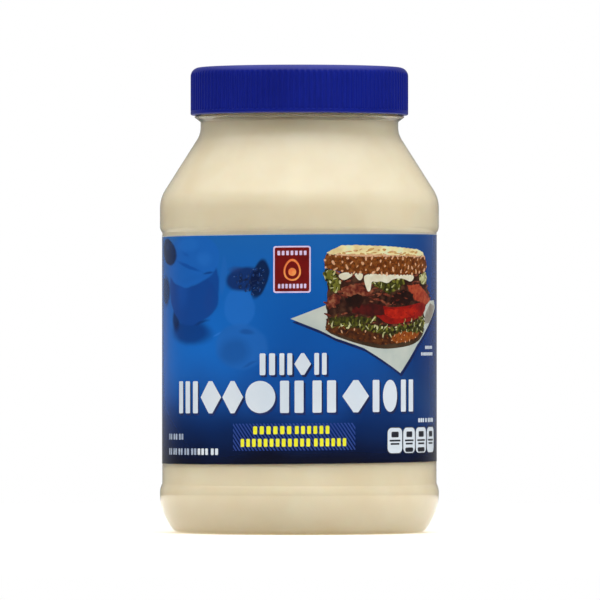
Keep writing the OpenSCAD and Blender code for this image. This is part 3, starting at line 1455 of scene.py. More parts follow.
    def wrap_tree(self) -> bpy.types.NodeTree:
        """Builds the tree that gives flat shapes their thickness and wraps them round the jar.

        Returns:
            The tree. Each face rises by its own "rise" attribute.
        """
        tree, given = geometry_tree(
            "wrapped_print",
            {"Radius": "Float", "Foot": "Float", "Skew": "Float", "Sink": "Float", "Material": "Material"},
        )
        drop = add_node(tree, "ShaderNodeMath", {0: given.outputs["Sink"], 1: -1.0}, operation="MULTIPLY")
        down = add_node(tree, "ShaderNodeCombineXYZ", {2: drop})
        sunk = add_node(
            tree, "GeometryNodeSetPosition", {"Geometry": given.outputs["Geometry"], "Offset": down}
        )
        rise = add_node(tree, "GeometryNodeInputNamedAttribute", {"Name": "rise"}, data_type="FLOAT")
        height = add_node(
            tree, "ShaderNodeMath", {0: rise.outputs["Attribute"], 1: given.outputs["Sink"]}, operation="ADD"
        )
        up = add_node(tree, "ShaderNodeCombineXYZ", {2: height})
        raised = add_node(
            tree,
            "GeometryNodeExtrudeMesh",
            {"Mesh": sunk, "Offset": up, "Offset Scale": 1.0, "Individual": False},
            mode="FACES",
        )
        base = add_node(tree, "GeometryNodeFlipFaces", {"Mesh": sunk})
        both = add_node(tree, "GeometryNodeJoinGeometry")
        tree.links.new(raised.outputs["Mesh"], both.inputs[0])
        tree.links.new(base.outputs[0], both.inputs[0])
        closed = add_node(tree, "GeometryNodeMergeByDistance", {"Geometry": both, "Distance": 0.0001 * MM})
        place = add_node(tree, "GeometryNodeInputPosition").outputs[0]
        split = add_node(tree, "ShaderNodeSeparateXYZ", {0: place})
        radius = add_node(
            tree, "ShaderNodeMath", {0: given.outputs["Radius"], 1: split.outputs["Z"]}, operation="ADD"
        )
        angle = add_node(
            tree, "ShaderNodeMath", {0: split.outputs["X"], 1: given.outputs["Radius"]}, operation="DIVIDE"
        )
        sine = add_node(tree, "ShaderNodeMath", {0: angle}, operation="SINE")
        cosine = add_node(tree, "ShaderNodeMath", {0: angle}, operation="COSINE")
        x = add_node(tree, "ShaderNodeMath", {0: radius, 1: sine}, operation="MULTIPLY")
        ahead = add_node(tree, "ShaderNodeMath", {0: radius, 1: cosine}, operation="MULTIPLY")
        y = add_node(tree, "ShaderNodeMath", {0: ahead, 1: -1.0}, operation="MULTIPLY")
        level = add_node(
            tree, "ShaderNodeMath", {0: split.outputs["Y"], 1: given.outputs["Foot"]}, operation="ADD"
        )
        z = add_node(
            tree, "ShaderNodeMath", {0: x, 1: given.outputs["Skew"], 2: level}, operation="MULTIPLY_ADD"
        )
        where = add_node(tree, "ShaderNodeCombineXYZ", {0: x, 1: y, 2: z})
        wrapped = add_node(tree, "GeometryNodeSetPosition", {"Geometry": closed, "Position": where})
        end_tree(tree, wrapped.outputs[0], given.outputs["Material"])
        return tree

    def flat(self, ink: Ink) -> bpy.types.Mesh:
        """Makes one ink's flat shapes, cut at the film's own facets so that they bend with it.

        Args:
            ink: the ink.

        Returns:
            The mesh, with each face's rise as an attribute.
        """
        build = bmesh.new()
        rise = build.faces.layers.float.new("rise")
        for laid in self.laid:
            if laid.ink is not ink:
                continue
            for outline in laid.outlines:
                corners = [build.verts.new((u * MM, v * MM, 0)) for u, v in self.upright(outline)]
                build.faces.new(corners)[rise] = laid.level * self.step * MM
        bmesh.ops.triangulate(build, faces=[f for f in build.faces if len(f.verts) > 4])
        facet = 2 * math.pi * self.radius / self.facets
        us = [v.co.x / MM for v in build.verts]
        for k in range(math.ceil(min(us) / facet), math.floor(max(us) / facet) + 1):
            bmesh.ops.bisect_plane(
                build,
                geom=build.verts[:] + build.edges[:] + build.faces[:],
                dist=0.0002 * MM,
                plane_co=(k * facet * MM, 0, 0),
                plane_no=(1, 0, 0),
            )
        mesh = bpy.data.meshes.new("print_flat")
        build.to_mesh(mesh)
        build.free()
        return mesh

    def press(self) -> list[bpy.types.Object]:
        """Makes one piece of each ink that was laid.

        Returns:
            The pieces.
        """
        tree = self.wrap_tree()
        pieces = []
        for ink in Ink:
            if not any(laid.ink is ink for laid in self.laid):
                continue
            values = {
                "Radius": self.radius * MM,
                "Foot": self.foot * MM,
                "Skew": self.skew,
                "Sink": self.sink * MM,
                "Material": ink.finish.material(),
            }
            pieces.append(grow(f"print_{ink.name.lower()}", self.flat(ink), tree, values))
        return pieces


class Form(Enum):
    """The plain shapes in the frieze that stands where a title would."""

    BAR = "bar"
    PAIR = "pair"
    THREE = "three"
    LOZENGE = "lozenge"
    DISC = "disc"

    def outlines(self, low: Point, high: Point) -> list[Outline]:
        """Gives the shape's outlines.

        Args:
            low: the lower left corner of the box it fills.
            high: the box's upper right corner.

        Returns:
            The outlines.
        """
        (u0, v0), (u1, v1) = low, high
        mid_u, mid_v = (u0 + u1) / 2, (v0 + v1) / 2
        if self is Form.LOZENGE:
            left, right = mid_u - (u1 - u0) * 0.09, mid_u + (u1 - u0) * 0.09
            return [[(left, v0), (right, v0), (u1, mid_v), (right, v1), (left, v1), (u0, mid_v)]]
        if self is Form.DISC:
            return [oval((mid_u, mid_v), ((u1 - u0) / 2, (v1 - v0) / 2), 40)]
        count = {Form.BAR: 1, Form.PAIR: 2, Form.THREE: 3}[self]
        width = (u1 - u0) / (count + 0.62 * (count - 1))
        starts = [u0 + i * width * 1.62 for i in range(count)]
        return [rounded_box((start, v0), (start + width, v1), 0.4) for start in starts]


@dataclass
class FrontPanel:
    """The plain shapes on the label's front: friezes for the titles, the egg badge and the facts tabs."""

    long_frieze: tuple[tuple[Form, float, float], ...] = (
        (Form.THREE, -49.1, -38.3),
        (Form.LOZENGE, -36.9, -27.9),
        (Form.LOZENGE, -27.4, -19.4),
        (Form.DISC, -18.6, -8.1),
        (Form.PAIR, -6.5, 1.4),
        (Form.PAIR, 4.4, 12.4),
        (Form.LOZENGE, 14.6, 24.4),
        (Form.BAR, 25.9, 28.6),
        (Form.DISC, 30.1, 36.4),
        (Form.PAIR, 38.3, 44.9),
    )
    short_frieze: tuple[tuple[Form, float, float], ...] = (
        (Form.PAIR, -13.5, -8.2),
        (Form.PAIR, -6.7, -2.4),
        (Form.LOZENGE, -1.7, 3.9),
        (Form.PAIR, 5.0, 9.2),
    )
    small_rows: tuple[tuple[Ink, Point, Point, tuple[int, ...], float], ...] = (
        (Ink.YELLOW, (-15.8, 10.4), (-2.7, 13.1), (6,), 0.62),
        (Ink.YELLOW, (-1.5, 10.4), (10.1, 13.1), (6,), 0.62),
        (Ink.YELLOW, (-20.3, 6.2), (3.6, 8.9), (12,), 0.62),
        (Ink.YELLOW, (4.9, 6.2), (16.0, 8.9), (6,), 0.62),
        (Ink.FACT_GREY, (-57.4, 8.6), (-46.4, 10.6), (2, 2, 2), 0.45),
        (Ink.FACT_GREY, (-57.4, 3.5), (-39.1, 5.7), (2, 2, 2, 2, 2), 0.45),
        (Ink.WHITE, (-38.4, 3.5), (-29.2, 5.7), (3, 2), 0.45),
    )

    def words(self, low: Point, high: Point, letters: tuple[int, ...], gap: float = 0.3) -> list[Outline]:
        """Gives a row of small blocks that stands where a line of words would.

        Args:
            low: the row's lower left corner.
            high: its upper right corner.
            letters: how many blocks each word has.
            gap: the gap between two blocks, as a share of a block's width.

        Returns:
            The blocks' outlines.
        """
        spaces = len(letters) - 1
        width = (high[0] - low[0]) / (sum(letters) * (1 + gap) - gap + spaces * 0.6)
        outlines = []
        u = low[0]
        for count in letters:
            for _ in range(count):
                outlines.append(rounded_box((u, low[1]), (u + width, high[1]), width * 0.25))
                u += width * (1 + gap)
            u += width * 0.6
        return outlines

    def frieze(
        self, sheet: PrintSheet, forms: tuple[tuple[Form, float, float], ...], low: float, high: float
    ) -> None:
        """Prints a row of white shapes with a dark drop shadow.

        Args:
            sheet: the sheet to print on.
            forms: each shape with its left and right.
            low: the row's foot.
            high: the row's top.
        """
        shapes: list[Outline] = []
        for form, u0, u1 in forms:
            sheet.lay(Ink.SHADOW, *form.outlines((u0 + 0.45, low - 0.75), (u1 + 0.65, high - 0.65)))
            shapes += form.outlines((u0, low), (u1, high))
        sheet.lay(Ink.WHITE, *shapes)

    def badge(self, sheet: PrintSheet) -> None:
        """Prints the red badge with an egg between two rows of blocks.

        Args:
            sheet: the sheet to print on.
        """
        sheet.lay(Ink.BADGE_LILAC, rounded_box((-8.8, 57.7), (3.8, 73.4), 0.8))
        sheet.lay(Ink.BADGE_RED, rounded_box((-8.3, 58.2), (3.3, 72.9), 0.5))
        sheet.lay(Ink.BADGE_LILAC, *self.words((-7.4, 70.3), (2.4, 71.8), (7,), 0.6))
        sheet.lay(Ink.BADGE_LILAC, *self.words((-7.2, 59.2), (2.3, 60.7), (8,), 0.6))
        sheet.lay(Ink.YOLK, oval((-2.4, 65.4), (2.9, 3.7), 30, 0.16))
        sheet.lay(Ink.BADGE_RED, oval((-2.4, 65.3), (2.3, 3.0), 30, 0.16))
        sheet.lay(Ink.YOLK, oval((-2.4, 64.7), (1.35, 1.35), 24))

    def tabs(self, sheet: PrintSheet) -> None:
        """Prints the row of four facts tabs, which hold bars and no figures.

        Args:
            sheet: the sheet to print on.
        """
        for i, (u0, u1) in enumerate(((32.1, 38.9), (39.5, 46.0), (46.6, 54.0), (54.9, 62.4))):
            sheet.lay(Ink.FACT_BLACK, rounded_box((u0 - 0.25, 3.3), (u1 + 0.25, 12.4), 1.9))
            sheet.lay(Ink.WHITE, rounded_box((u0, 3.6), (u1, 12.1), 1.7))
            mid, half = (u0 + u1) / 2, (u1 - u0) / 2
            bars = [(0.5, 8.9, 10.8, 0.4), (0.75, 7.5, 8.1, 0.2), (0.6, 6.4, 7.0, 0.2)]
            if i in (1, 2):
                bars.append((0.7, 3.9, 5.4, 1.2))
            for share, v0, v1, corner in bars:
                reach = half * share
                sheet.lay(Ink.FACT_BLACK, rounded_box((mid - reach, v0), (mid + reach, v1), corner))
        sheet.lay(Ink.WHITE, *self.words((48.2, 13.8), (61.4, 15.2), (3, 1, 4)))
        sheet.lay(Ink.WHITE, *self.words((53.3, 38.5), (60.3, 39.6), (7,)))
        sheet.lay(Ink.WHITE, *self.words((50.2, 36.3), (60.8, 37.4), (10,)))

    def draw(self, sheet: PrintSheet) -> None:
        """Prints the whole front.

        Args:
            sheet: the sheet to print on.
        """
        self.badge(sheet)
        self.frieze(sheet, self.short_frieze, 30.2, 37.5)
        self.frieze(sheet, self.long_frieze, 17.5, 28.3)
        sheet.hatch(Ink.STRIPE, (-23.2, 4.9), (19.3, 14.0), 1.25, 0.5, 35)
        for ink, low, high, letters, gap in self.small_rows:
            sheet.lay(ink, *self.words(low, high, letters, gap))
        self.tabs(sheet)


@dataclass
class SandwichPicture:
    """A toasted sandwich on a folded paper napkin, in flat fields of ink with strewn flecks."""

    napkin: Outline = (
        (-3, 49), (9, 53.5), (63, 55), (64.5, 52.5), (57.5, 47.5), (47.5, 40), (38, 30.5), (22.5, 39),
        (12, 42.5), (7, 45),
    )
    toast: Outline = (
        (9, 71), (11, 72), (14.5, 73.5), (20, 73.6), (33.5, 73.1), (47.5, 72.2), (51.5, 71.2), (53, 69.5),
        (41.5, 69.5), (23, 69.5), (14.5, 70), (10, 70.5),
    )
    crust: Outline = (
        (9, 70.5), (14.5, 70), (23, 69.6), (41.5, 69.6), (53, 69.5), (54.5, 67), (53.5, 65), (44, 63.5),
        (32.5, 63.5), (23, 64), (14.5, 64.5), (10, 65.5), (8.5, 66), (8.5, 68.5),
    )
    filling: Outline = (
        (9.5, 64.5), (54, 64.5), (54.5, 60), (58, 55.5), (53.5, 53), (50.5, 49.5), (44, 47), (32.5, 46),
        (23, 47), (14.5, 47.5), (9.6, 48), (9, 53.5), (9.5, 57.5),
    )
    cream_drip: Outline = (
        (22.5, 63.8), (29, 63.9), (44.5, 63.8), (45.5, 62.5), (43.5, 61), (40.5, 62), (37.5, 62.5),
        (34, 62), (32, 60.5), (29, 61.5), (27.5, 61), (25.5, 61.5), (25.2, 60), (25, 58.2), (24, 57.8),
        (23.4, 59), (22.5, 61.5),
    )
    left_leaf: Outline = (
        (8, 64.5), (9.5, 65.5), (12, 65), (13, 62.5), (14, 60.5), (13.5, 58.5), (12, 57.5), (10.5, 58),
        (9.5, 60.5), (8.5, 62),
    )
    mid_leaf: Outline = (
        (25.5, 61), (29, 61.5), (32.5, 61), (38, 62.5), (40, 61.5), (38, 59), (34.5, 58), (32.5, 57),
        (30, 58.5), (27.5, 59.5),
    )
    pale_leaf: Outline = (
        (48.5, 63.5), (53.5, 64.5), (54.5, 62.5), (53.5, 60.5), (50.5, 60.5), (49, 62),
    )
    top_tomato: Outline = (
        (41.5, 60), (48.5, 60.5), (56, 56.5), (58, 55), (53.5, 53.5), (46, 55), (43, 57),
    )
    tomato: Outline = (
        (23.5, 53.5), (29, 53.5), (33, 52.5), (41.5, 53), (50.5, 54.5), (54, 53), (52, 50.5), (46.5, 48.5),
        (37.5, 47), (31.5, 47), (28, 49.5), (24, 51),
    )
    low_leaf: Outline = (
        (9.5, 49.4), (14.5, 48.4), (18.5, 49.8), (23, 48), (25.5, 49.2), (32.5, 46.2), (39.5, 46.8),
        (45, 48.8), (52, 51), (52.5, 47), (51, 44), (39.5, 44.5), (32.5, 43), (26, 44.5), (17.5, 46),
        (12, 46.5), (9.5, 47.5),
    )
    low_crust: Outline = (
        (9, 49), (23, 46.5), (36, 45), (51.5, 46.5), (51, 44), (46, 41.5), (36, 40.5), (29, 40), (20, 41.5),
        (12, 44), (9, 45),
    )
    lit_crust: Outline = (
        (33.5, 42.5), (38, 44.5), (46, 45.5), (50.5, 45), (47, 42.5), (41, 41), (36, 40.5), (34, 41.5),
    )

    def paper(self, sheet: PrintSheet) -> None:
        """Prints the napkin and the shade that the sandwich throws on it.

        Args:
            sheet: the sheet to print on.
        """
        sheet.lay(Ink.SHADOW, [(u + 0.6, v - 1.2) for u, v in self.napkin])
        sheet.lay(Ink.NAPKIN, self.napkin)
        sheet.lay(Ink.NAPKIN_FOLD, [(52, 47), (57, 47.3), (60.5, 50), (63.5, 53), (58, 54), (54, 51)])
        shade = [
            (8.5, 47.5), (9, 44.6), (14, 42.4), (21, 40.2), (29, 38.6), (37, 38.9), (46, 40.2), (51.5, 43),
            (53, 47),
        ]
        sheet.lay(Ink.NAPKIN_SHADE, softened(shade, 2))

    def bread(self, sheet: PrintSheet) -> None:
        """Prints the top slice: its toasted face, its crust and the oats on it.

        Args:
            sheet: the sheet to print on.
        """
        sheet.lay(Ink.TOAST, frilled(self.toast, 2.2, 0.18, 3))
        brown = [
            (13, 70.7), (17, 72.1), (22, 72.2), (34, 71.9), (47, 71.1), (46, 70), (30, 70.2), (14, 70.3)
        ]
        sheet.strew(Ink.TOAST_BROWN, brown, 1.5, (1.0, 0.35), (3.2, 0.9), 4, 2, 14, 9, 0.35)
        sheet.strew(Ink.OAT, brown, 2.6, (0.6, 0.25), (1.8, 0.5), 9, 2, 20, 8, 0.25)
        rim = [
            (9.4, 70.4), (14.5, 69.8), (23, 69.4), (41.5, 69.3), (52.6, 69.2), (52.4, 69.9), (41.5, 70),
            (14.5, 70.5),
        ]
        sheet.lay(Ink.OAT, frilled(rim, 1.4, 0.18, 2))
        sheet.lay(Ink.CRUST, frilled(self.crust, 1.6, 0.22, 5))
        sheet.strew(Ink.CRUST_LIT, self.crust, 1.5, (0.5, 0.3), (1.5, 0.7), 6)
        sheet.strew(Ink.CRUST_DARK, self.crust, 1.7, (0.3, 0.25), (1.1, 0.5), 7)
        sheet.strew(Ink.OAT, self.crust, 2.0, (0.6, 0.4), (2.0, 1.1), 8, 75, 50, 8, 0.3)

    def leaves(self, sheet: PrintSheet) -> None:
        """Prints the upper leaves and the cream that runs down over them.

        Args:
            sheet: the sheet to print on.
        """
        sheet.lay(Ink.LEAF, frilled(self.left_leaf, 1.5, 0.6, 11))
        sheet.strew(Ink.LEAF_DARK, self.left_leaf, 1.3, (0.9, 0.4), (2.2, 1.0), 12, 60, 60, 14, 0.8)
        sheet.strew(Ink.LEAF_PALE, self.left_leaf, 1.9, (0.8, 0.25), (2.2, 0.7), 13, 70, 70, 14, 0.8)
        sheet.lay(Ink.LEAF_PALE, frilled(self.pale_leaf, 1.4, 0.5, 14))
        sheet.strew(Ink.LEAF, self.pale_leaf, 1.5, (0.8, 0.3), (1.8, 0.8), 15, 60, 80, 14, 0.7)
        sheet.lay(Ink.LEAF_DARK, frilled(self.mid_leaf, 1.5, 0.6, 16))
        sheet.strew(Ink.LEAF, self.mid_leaf, 1.6, (1.0, 0.4), (2.4, 1.0), 17, 40, 80, 14, 0.8)
        sheet.strew(Ink.LEAF_PALE, self.mid_leaf, 2.6, (0.8, 0.3), (2.0, 0.6), 18, 50, 80, 14, 0.8)
        left_blob = [(13, 63), (14, 64.2), (17.5, 64.6), (18.5, 63.5), (17, 62.5), (15, 61.6)]
        mid_blob = [(18.7, 64.2), (22.2, 64.1), (22, 62.5), (21, 61.5), (19.7, 62.4)]
        for cream in (self.cream_drip, left_blob, mid_blob):
            sheet.lay(Ink.CREAM, softened(cream, 2))

    def meat(self, sheet: PrintSheet) -> None:
        """Prints the bacon, the ham's dark hollows and the tomato.

        Args:
            sheet: the sheet to print on.
        """
        sheet.lay(Ink.FILLING, frilled(self.filling, 2.4, 0.4, 21))
        sheet.strew(Ink.BACON, self.filling, 2.4, (1.2, 0.5), (3.6, 1.1), 22, 10, 35)
        rashers = (
            ([(14, 59), (17.5, 60.4), (22, 59.8), (26, 57.6), (24, 56.3), (15.5, 56.3)], 2, 0.4, 23),
            ([(22, 55), (28, 55.8), (31.5, 54.5), (28, 52.8), (23, 53.4)], 2, 0.3, 24),
            ([(9, 54), (10, 56.5), (12.5, 57.5), (15, 55.5), (14, 54), (12, 53.6), (10, 52)], 1.6, 0.4, 25),
        )
        for outline, pitch, depth, seed in rashers:
            sheet.lay(Ink.BACON, frilled(outline, pitch, depth, seed))
        sheet.lay(Ink.TOMATO_EDGE, frilled(self.top_tomato, 1.8, 0.4, 26))
        sheet.lay(Ink.TOMATO, softened(self.tomato, 2))
        bright = [
            (30.5, 52), (41.5, 52.2), (46, 53), (48.5, 51.4), (44.5, 49.6), (38, 48.6), (32.5, 49.2),
            (30, 51),
        ]
        sheet.lay(Ink.TOMATO_BRIGHT, softened(bright, 2))
        sheet.strew(Ink.TOMATO, bright, 1.8, (0.6, 0.25), (1.7, 0.5), 27, 0, 40)
        hollow = [(34.5, 57), (39.5, 58.7), (45, 57.4), (44.6, 54.8), (39.4, 53.2), (35.5, 54), (33, 55.4)]
        left_hollow = [(15.5, 55.6), (20, 57.3), (23.3, 55.7), (20.6, 52.4), (16.6, 53.2)]
        low_tomato = [(18, 53), (25, 54), (30, 53.4), (31, 50), (24, 49.8), (18, 50.8)]
        folds = (
            (Ink.FILLING, [(14, 55.6), (23, 56.4), (31, 54.2), (27, 50.4), (13, 51)], 2, 0.5, 29),
            (Ink.TOMATO_DARK, low_tomato, 2, 0.3, 30),
            (Ink.HAM_DARK, hollow, 1.8, 0.5, 44),
            (Ink.HAM_DARK, left_hollow, 1.6, 0.5, 45),
        )
        for ink, outline, pitch, depth, seed in folds:
            sheet.lay(ink, frilled(outline, pitch, depth, seed))
        shreds = [(24, 60), (41, 58), (41, 53.5), (24, 53.5)]
        sheet.strew(Ink.BACON, shreds, 2.0, (1.0, 0.3), (3.0, 0.7), 28, 5, 25)

    def foot(self, sheet: PrintSheet) -> None:
        """Prints the lower slice and the curled leaves over it.

        Args:
            sheet: the sheet to print on.
        """
        sheet.lay(Ink.CRUST_DARK, frilled(self.low_crust, 2.0, 0.25, 31))
        sheet.lay(Ink.CRUST_LIT, frilled(self.lit_crust, 1.4, 0.3, 32))
        sheet.strew(Ink.OAT, self.lit_crust, 2.0, (0.5, 0.25), (1.1, 0.5), 33, 60, 60)
        sheet.strew(Ink.CRUST, self.low_crust, 1.9, (0.6, 0.3), (1.8, 0.6), 34, 0, 60)
        sheet.strew(Ink.OAT, [(10, 47), (26, 44.5), (27, 42), (13, 43.8)], 3.6, (0.7, 0.4), (1.5, 0.8), 35)
        sheet.lay(Ink.LEAF_DARK, frilled(self.low_leaf, 1.6, 0.7, 36))
        sheet.strew(Ink.LEAF, self.low_leaf, 2.1, (1.0, 0.35), (2.6, 0.9), 37, 65, 80, 14, 1.0)
        sheet.strew(Ink.HAM_DARK, self.low_leaf, 2.4, (0.8, 0.4), (2.0, 1.0), 39, 20, 60, 14, 0.8)
        sheet.strew(Ink.LEAF_PALE, self.low_leaf, 2.6, (0.9, 0.25), (2.6, 0.7), 38, 75, 70, 14, 1.0)

    def draw(self, sheet: PrintSheet) -> None:
        """Prints the picture from the back to the front.

        Args:
            sheet: the sheet to print on.
        """
        self.paper(sheet)
        self.foot(sheet)
        self.meat(sheet)
        curls = [(9.5, 49.8), (26, 49.2), (34, 47.4), (45, 48.4), (52, 50.2), (52, 47), (34, 45), (10, 46.8)]
        dark = [(9.5, 49.2), (18.5, 49.8), (25.5, 49), (26, 47.4), (17, 46.9), (10, 47.4)]
        sheet.lay(Ink.LEAF_DARK, frilled(dark, 1.5, 0.6, 41))
        sheet.strew(Ink.LEAF, curls, 3.0, (1.0, 0.3), (2.6, 0.8), 42, 70, 80, 14, 1.0)
        sheet.strew(Ink.LEAF_PALE, curls, 3.2, (0.9, 0.22), (3.0, 0.55), 43, 80, 50, 14, 1.0)
        self.leaves(sheet)
        self.bread(sheet)


@dataclass
class GhostPicture:
    """A pale picture in the film's own blues: a full cup, a dollop and peppers on paper, all soft-edged."""

    spots: tuple[SoftSpot, ...] = (
        SoftSpot((4, 36), (38, 38), "#04347f", 0.5, 0.9),
        SoftSpot((-62, 40), (5, 26), "#3a6cc0", 0.5, 0.9),
        SoftSpot((-43, 44.5), (14, 5.4), "#08357c", 0.85, 0.5, -3),
        SoftSpot((-51.5, 48.5), (3.6, 5), "#041c44", 0.85, 0.6, 12),
        SoftSpot((-61, 58.5), (5.4, 6), "#13233f", 0.75, 0.4),
        SoftSpot((-42.5, 60.0), (14.6, 14.0), "#114696", 0.92, 0.08, -3),
        SoftSpot((-42.3, 56.0), (13.8, 8.8), "#114696", 0.92, 0.08, -2),
        SoftSpot((-47, 58.0), (6, 8), "#1753ac", 0.6, 0.9),
        SoftSpot((-33, 55.0), (3.6, 8), "#1b4490", 0.5, 0.9, -8),
        SoftSpot((-36.5, 47.6), (5, 0.8), "#0a2d66", 0.7, 0.8, 16),
        SoftSpot((-43.5, 68.6), (15.6, 9.2), "#1b66c0", 0.95, 0.09, 6),
        SoftSpot((-40, 62.6), (12, 1.6), "#1a60b8", 0.5, 0.8, 9),
        SoftSpot((-44, 74.0), (8.5, 3.2), "#2270ca", 0.6, 0.6, 4),
        SoftSpot((-35.5, 69.0), (5, 3.6), "#2774ce", 0.5, 0.8, -12),
        SoftSpot((-43.5, 66.4), (9, 0.9), "#0c4ea6", 0.8, 0.6, -14),
        SoftSpot((-33.5, 64.3), (3, 0.6), "#0c3f86", 0.8, 0.7, 8),
        SoftSpot((-45, 70.6), (3.4, 0.9), "#1459b4", 0.7, 0.8, -18),
        SoftSpot((-27.0, 63.5), (1.5, 7.4), "#2168bd", 0.8, 0.4, -5),
        SoftSpot((-58, 71.4), (8, 4.6), "#0c2145", 0.92, 0.2, -14),
        SoftSpot((-59, 73.4), (3.4, 2.2), "#1a3f78", 0.6, 0.9),
        SoftSpot((-21, 52.3), (6.4, 7.4), "#2470ca", 0.7, 0.2, 14),
        SoftSpot((-19.5, 62.2), (7.6, 4.6), "#132a62", 0.9, 0.3, 8),
        SoftSpot((-22.5, 65.4), (4, 1.6), "#27407c", 0.6, 0.8, 8),
        SoftSpot((-13.6, 62.0), (3.4, 7.4), "#0a1a40", 0.92, 0.25, -16),
        SoftSpot((-20.5, 39.4), (10.8, 8.3), "#2367bb", 0.75, 0.2),
        SoftSpot((-23, 37.6), (8, 6.2), "#19549f", 0.7, 0.6, 6),
        SoftSpot((-18, 44.2), (3.8, 1.4), "#17509c", 0.7, 0.7, -4),
        SoftSpot((-17, 33.6), (4, 0.7), "#17509c", 0.6, 0.7, 22),
        SoftSpot((-29.5, 43.6), (2.6, 0.5), "#2f7ad2", 0.7, 0.7, 22),
    )
    pepper: Outline = (
        (-23, 63.5), (-18, 64), (-14.5, 66.5), (-11.8, 65.5), (-11.8, 62), (-13.2, 58.5), (-15, 56.8),
        (-18.5, 58.5), (-22, 60.5),
    )

    def draw(self, sheet: PrintSheet) -> None:
        """Prints the only crisp part, the peppers' folds and glints.

        Args:
            sheet: the sheet to print on.
        """
        sheet.strew(Ink.GHOST_DEEP, self.pepper, 1.5, (0.8, 0.4), (2.4, 1.2), 51, 50, 60, 12, 0.6)
        sheet.strew(Ink.GHOST_MID, self.pepper, 2.0, (0.5, 0.25), (1.4, 0.5), 52, 60, 60, 10, 0.4)
        sheet.strew(Ink.GHOST_LIGHT, self.pepper, 2.4, (0.25, 0.15), (0.6, 0.3), 53)


@dataclass
class BackPanels:
    """The plain panels round the label's sides and back: a facts table and rows of bars."""

    table_low: Point = (82.0, 8.0)
    table_high: Point = (124.0, 70.0)
    rule_pitch: float = 3.9
    row_pitch: float = 2.6

    def table(self, sheet: PrintSheet) -> None:
        """Prints the facts table: a white box with ruled rows of bars.

        Args:
            sheet: the sheet to print on.
        """
        (u0, v0), (u1, v1) = self.table_low, self.table_high
        sheet.lay(Ink.WHITE, rounded_box(self.table_low, self.table_high, 0.8))
        sheet.lay(Ink.FACT_BLACK, rounded_box((u0 + 2, v1 - 6), (u1 - 6, v1 - 2.4), 0.3))
        rules = []
        for i in range(13):
            v = v1 - 9 - i * self.rule_pitch
            thick = 0.9 if i in (0, 10) else 0.25
            rules.append(rounded_box((u0 + 2, v), (u1 - 2, v + thick)))
        sheet.lay(Ink.FACT_BLACK, *rules)
        dice = random.Random(61)
        bars = []
        for i in range(12):
            v = v1 - 11.8 - i * self.rule_pitch
            indent = 4 if i % 3 == 2 else 2
            bars.append(rounded_box((u0 + indent, v), (u0 + dice.uniform(14, 24), v + 1.4), 0.3))
            bars.append(rounded_box((u1 - 7, v), (u1 - 2.4, v + 1.4), 0.3))
        sheet.lay(Ink.FACT_BLACK, *bars)

    def rows(self, sheet: PrintSheet, low: Point, wide: float, count: int, seed: int) -> None:
        """Prints a block of pale rows.

        Args:
            sheet: the sheet to print on.
            low: the block's lower left corner.
            wide: its width.
            count: how many rows it has.
            seed: what makes its rows differ from others.
        """
        dice = random.Random(seed)
        bars = []
        for i in range(count):
            end = wide * (dice.uniform(0.35, 0.6) if i == 0 else dice.uniform(0.9, 1.0))
            v = low[1] + i * self.row_pitch
            bars.append(rounded_box((low[0], v), (low[0] + end, v + 1.1), 0.4))
        sheet.lay(Ink.WHITE, *bars)

    def draw(self, sheet: PrintSheet) -> None:
        """Prints the panels.

        Args:
            sheet: the sheet to print on.
        """
        self.table(sheet)
        self.rows(sheet, (-128, 46), 50, 9, 62)
        self.rows(sheet, (-128, 26), 50, 5, 63)
        sheet.lay(Ink.WHITE, rounded_box((-128, 6), (-98, 22), 1.0))
        sheet.hatch(Ink.FACT_BLACK, (-125.5, 8.5), (-100.5, 19.5), 1.4, 0.6, 0)
        sheet.lay(Ink.YELLOW, rounded_box((-92, 16), (-80, 22), 1.5))
        sheet.lay(Ink.YELLOW, oval((-86, 11), (3.4, 3.4)))


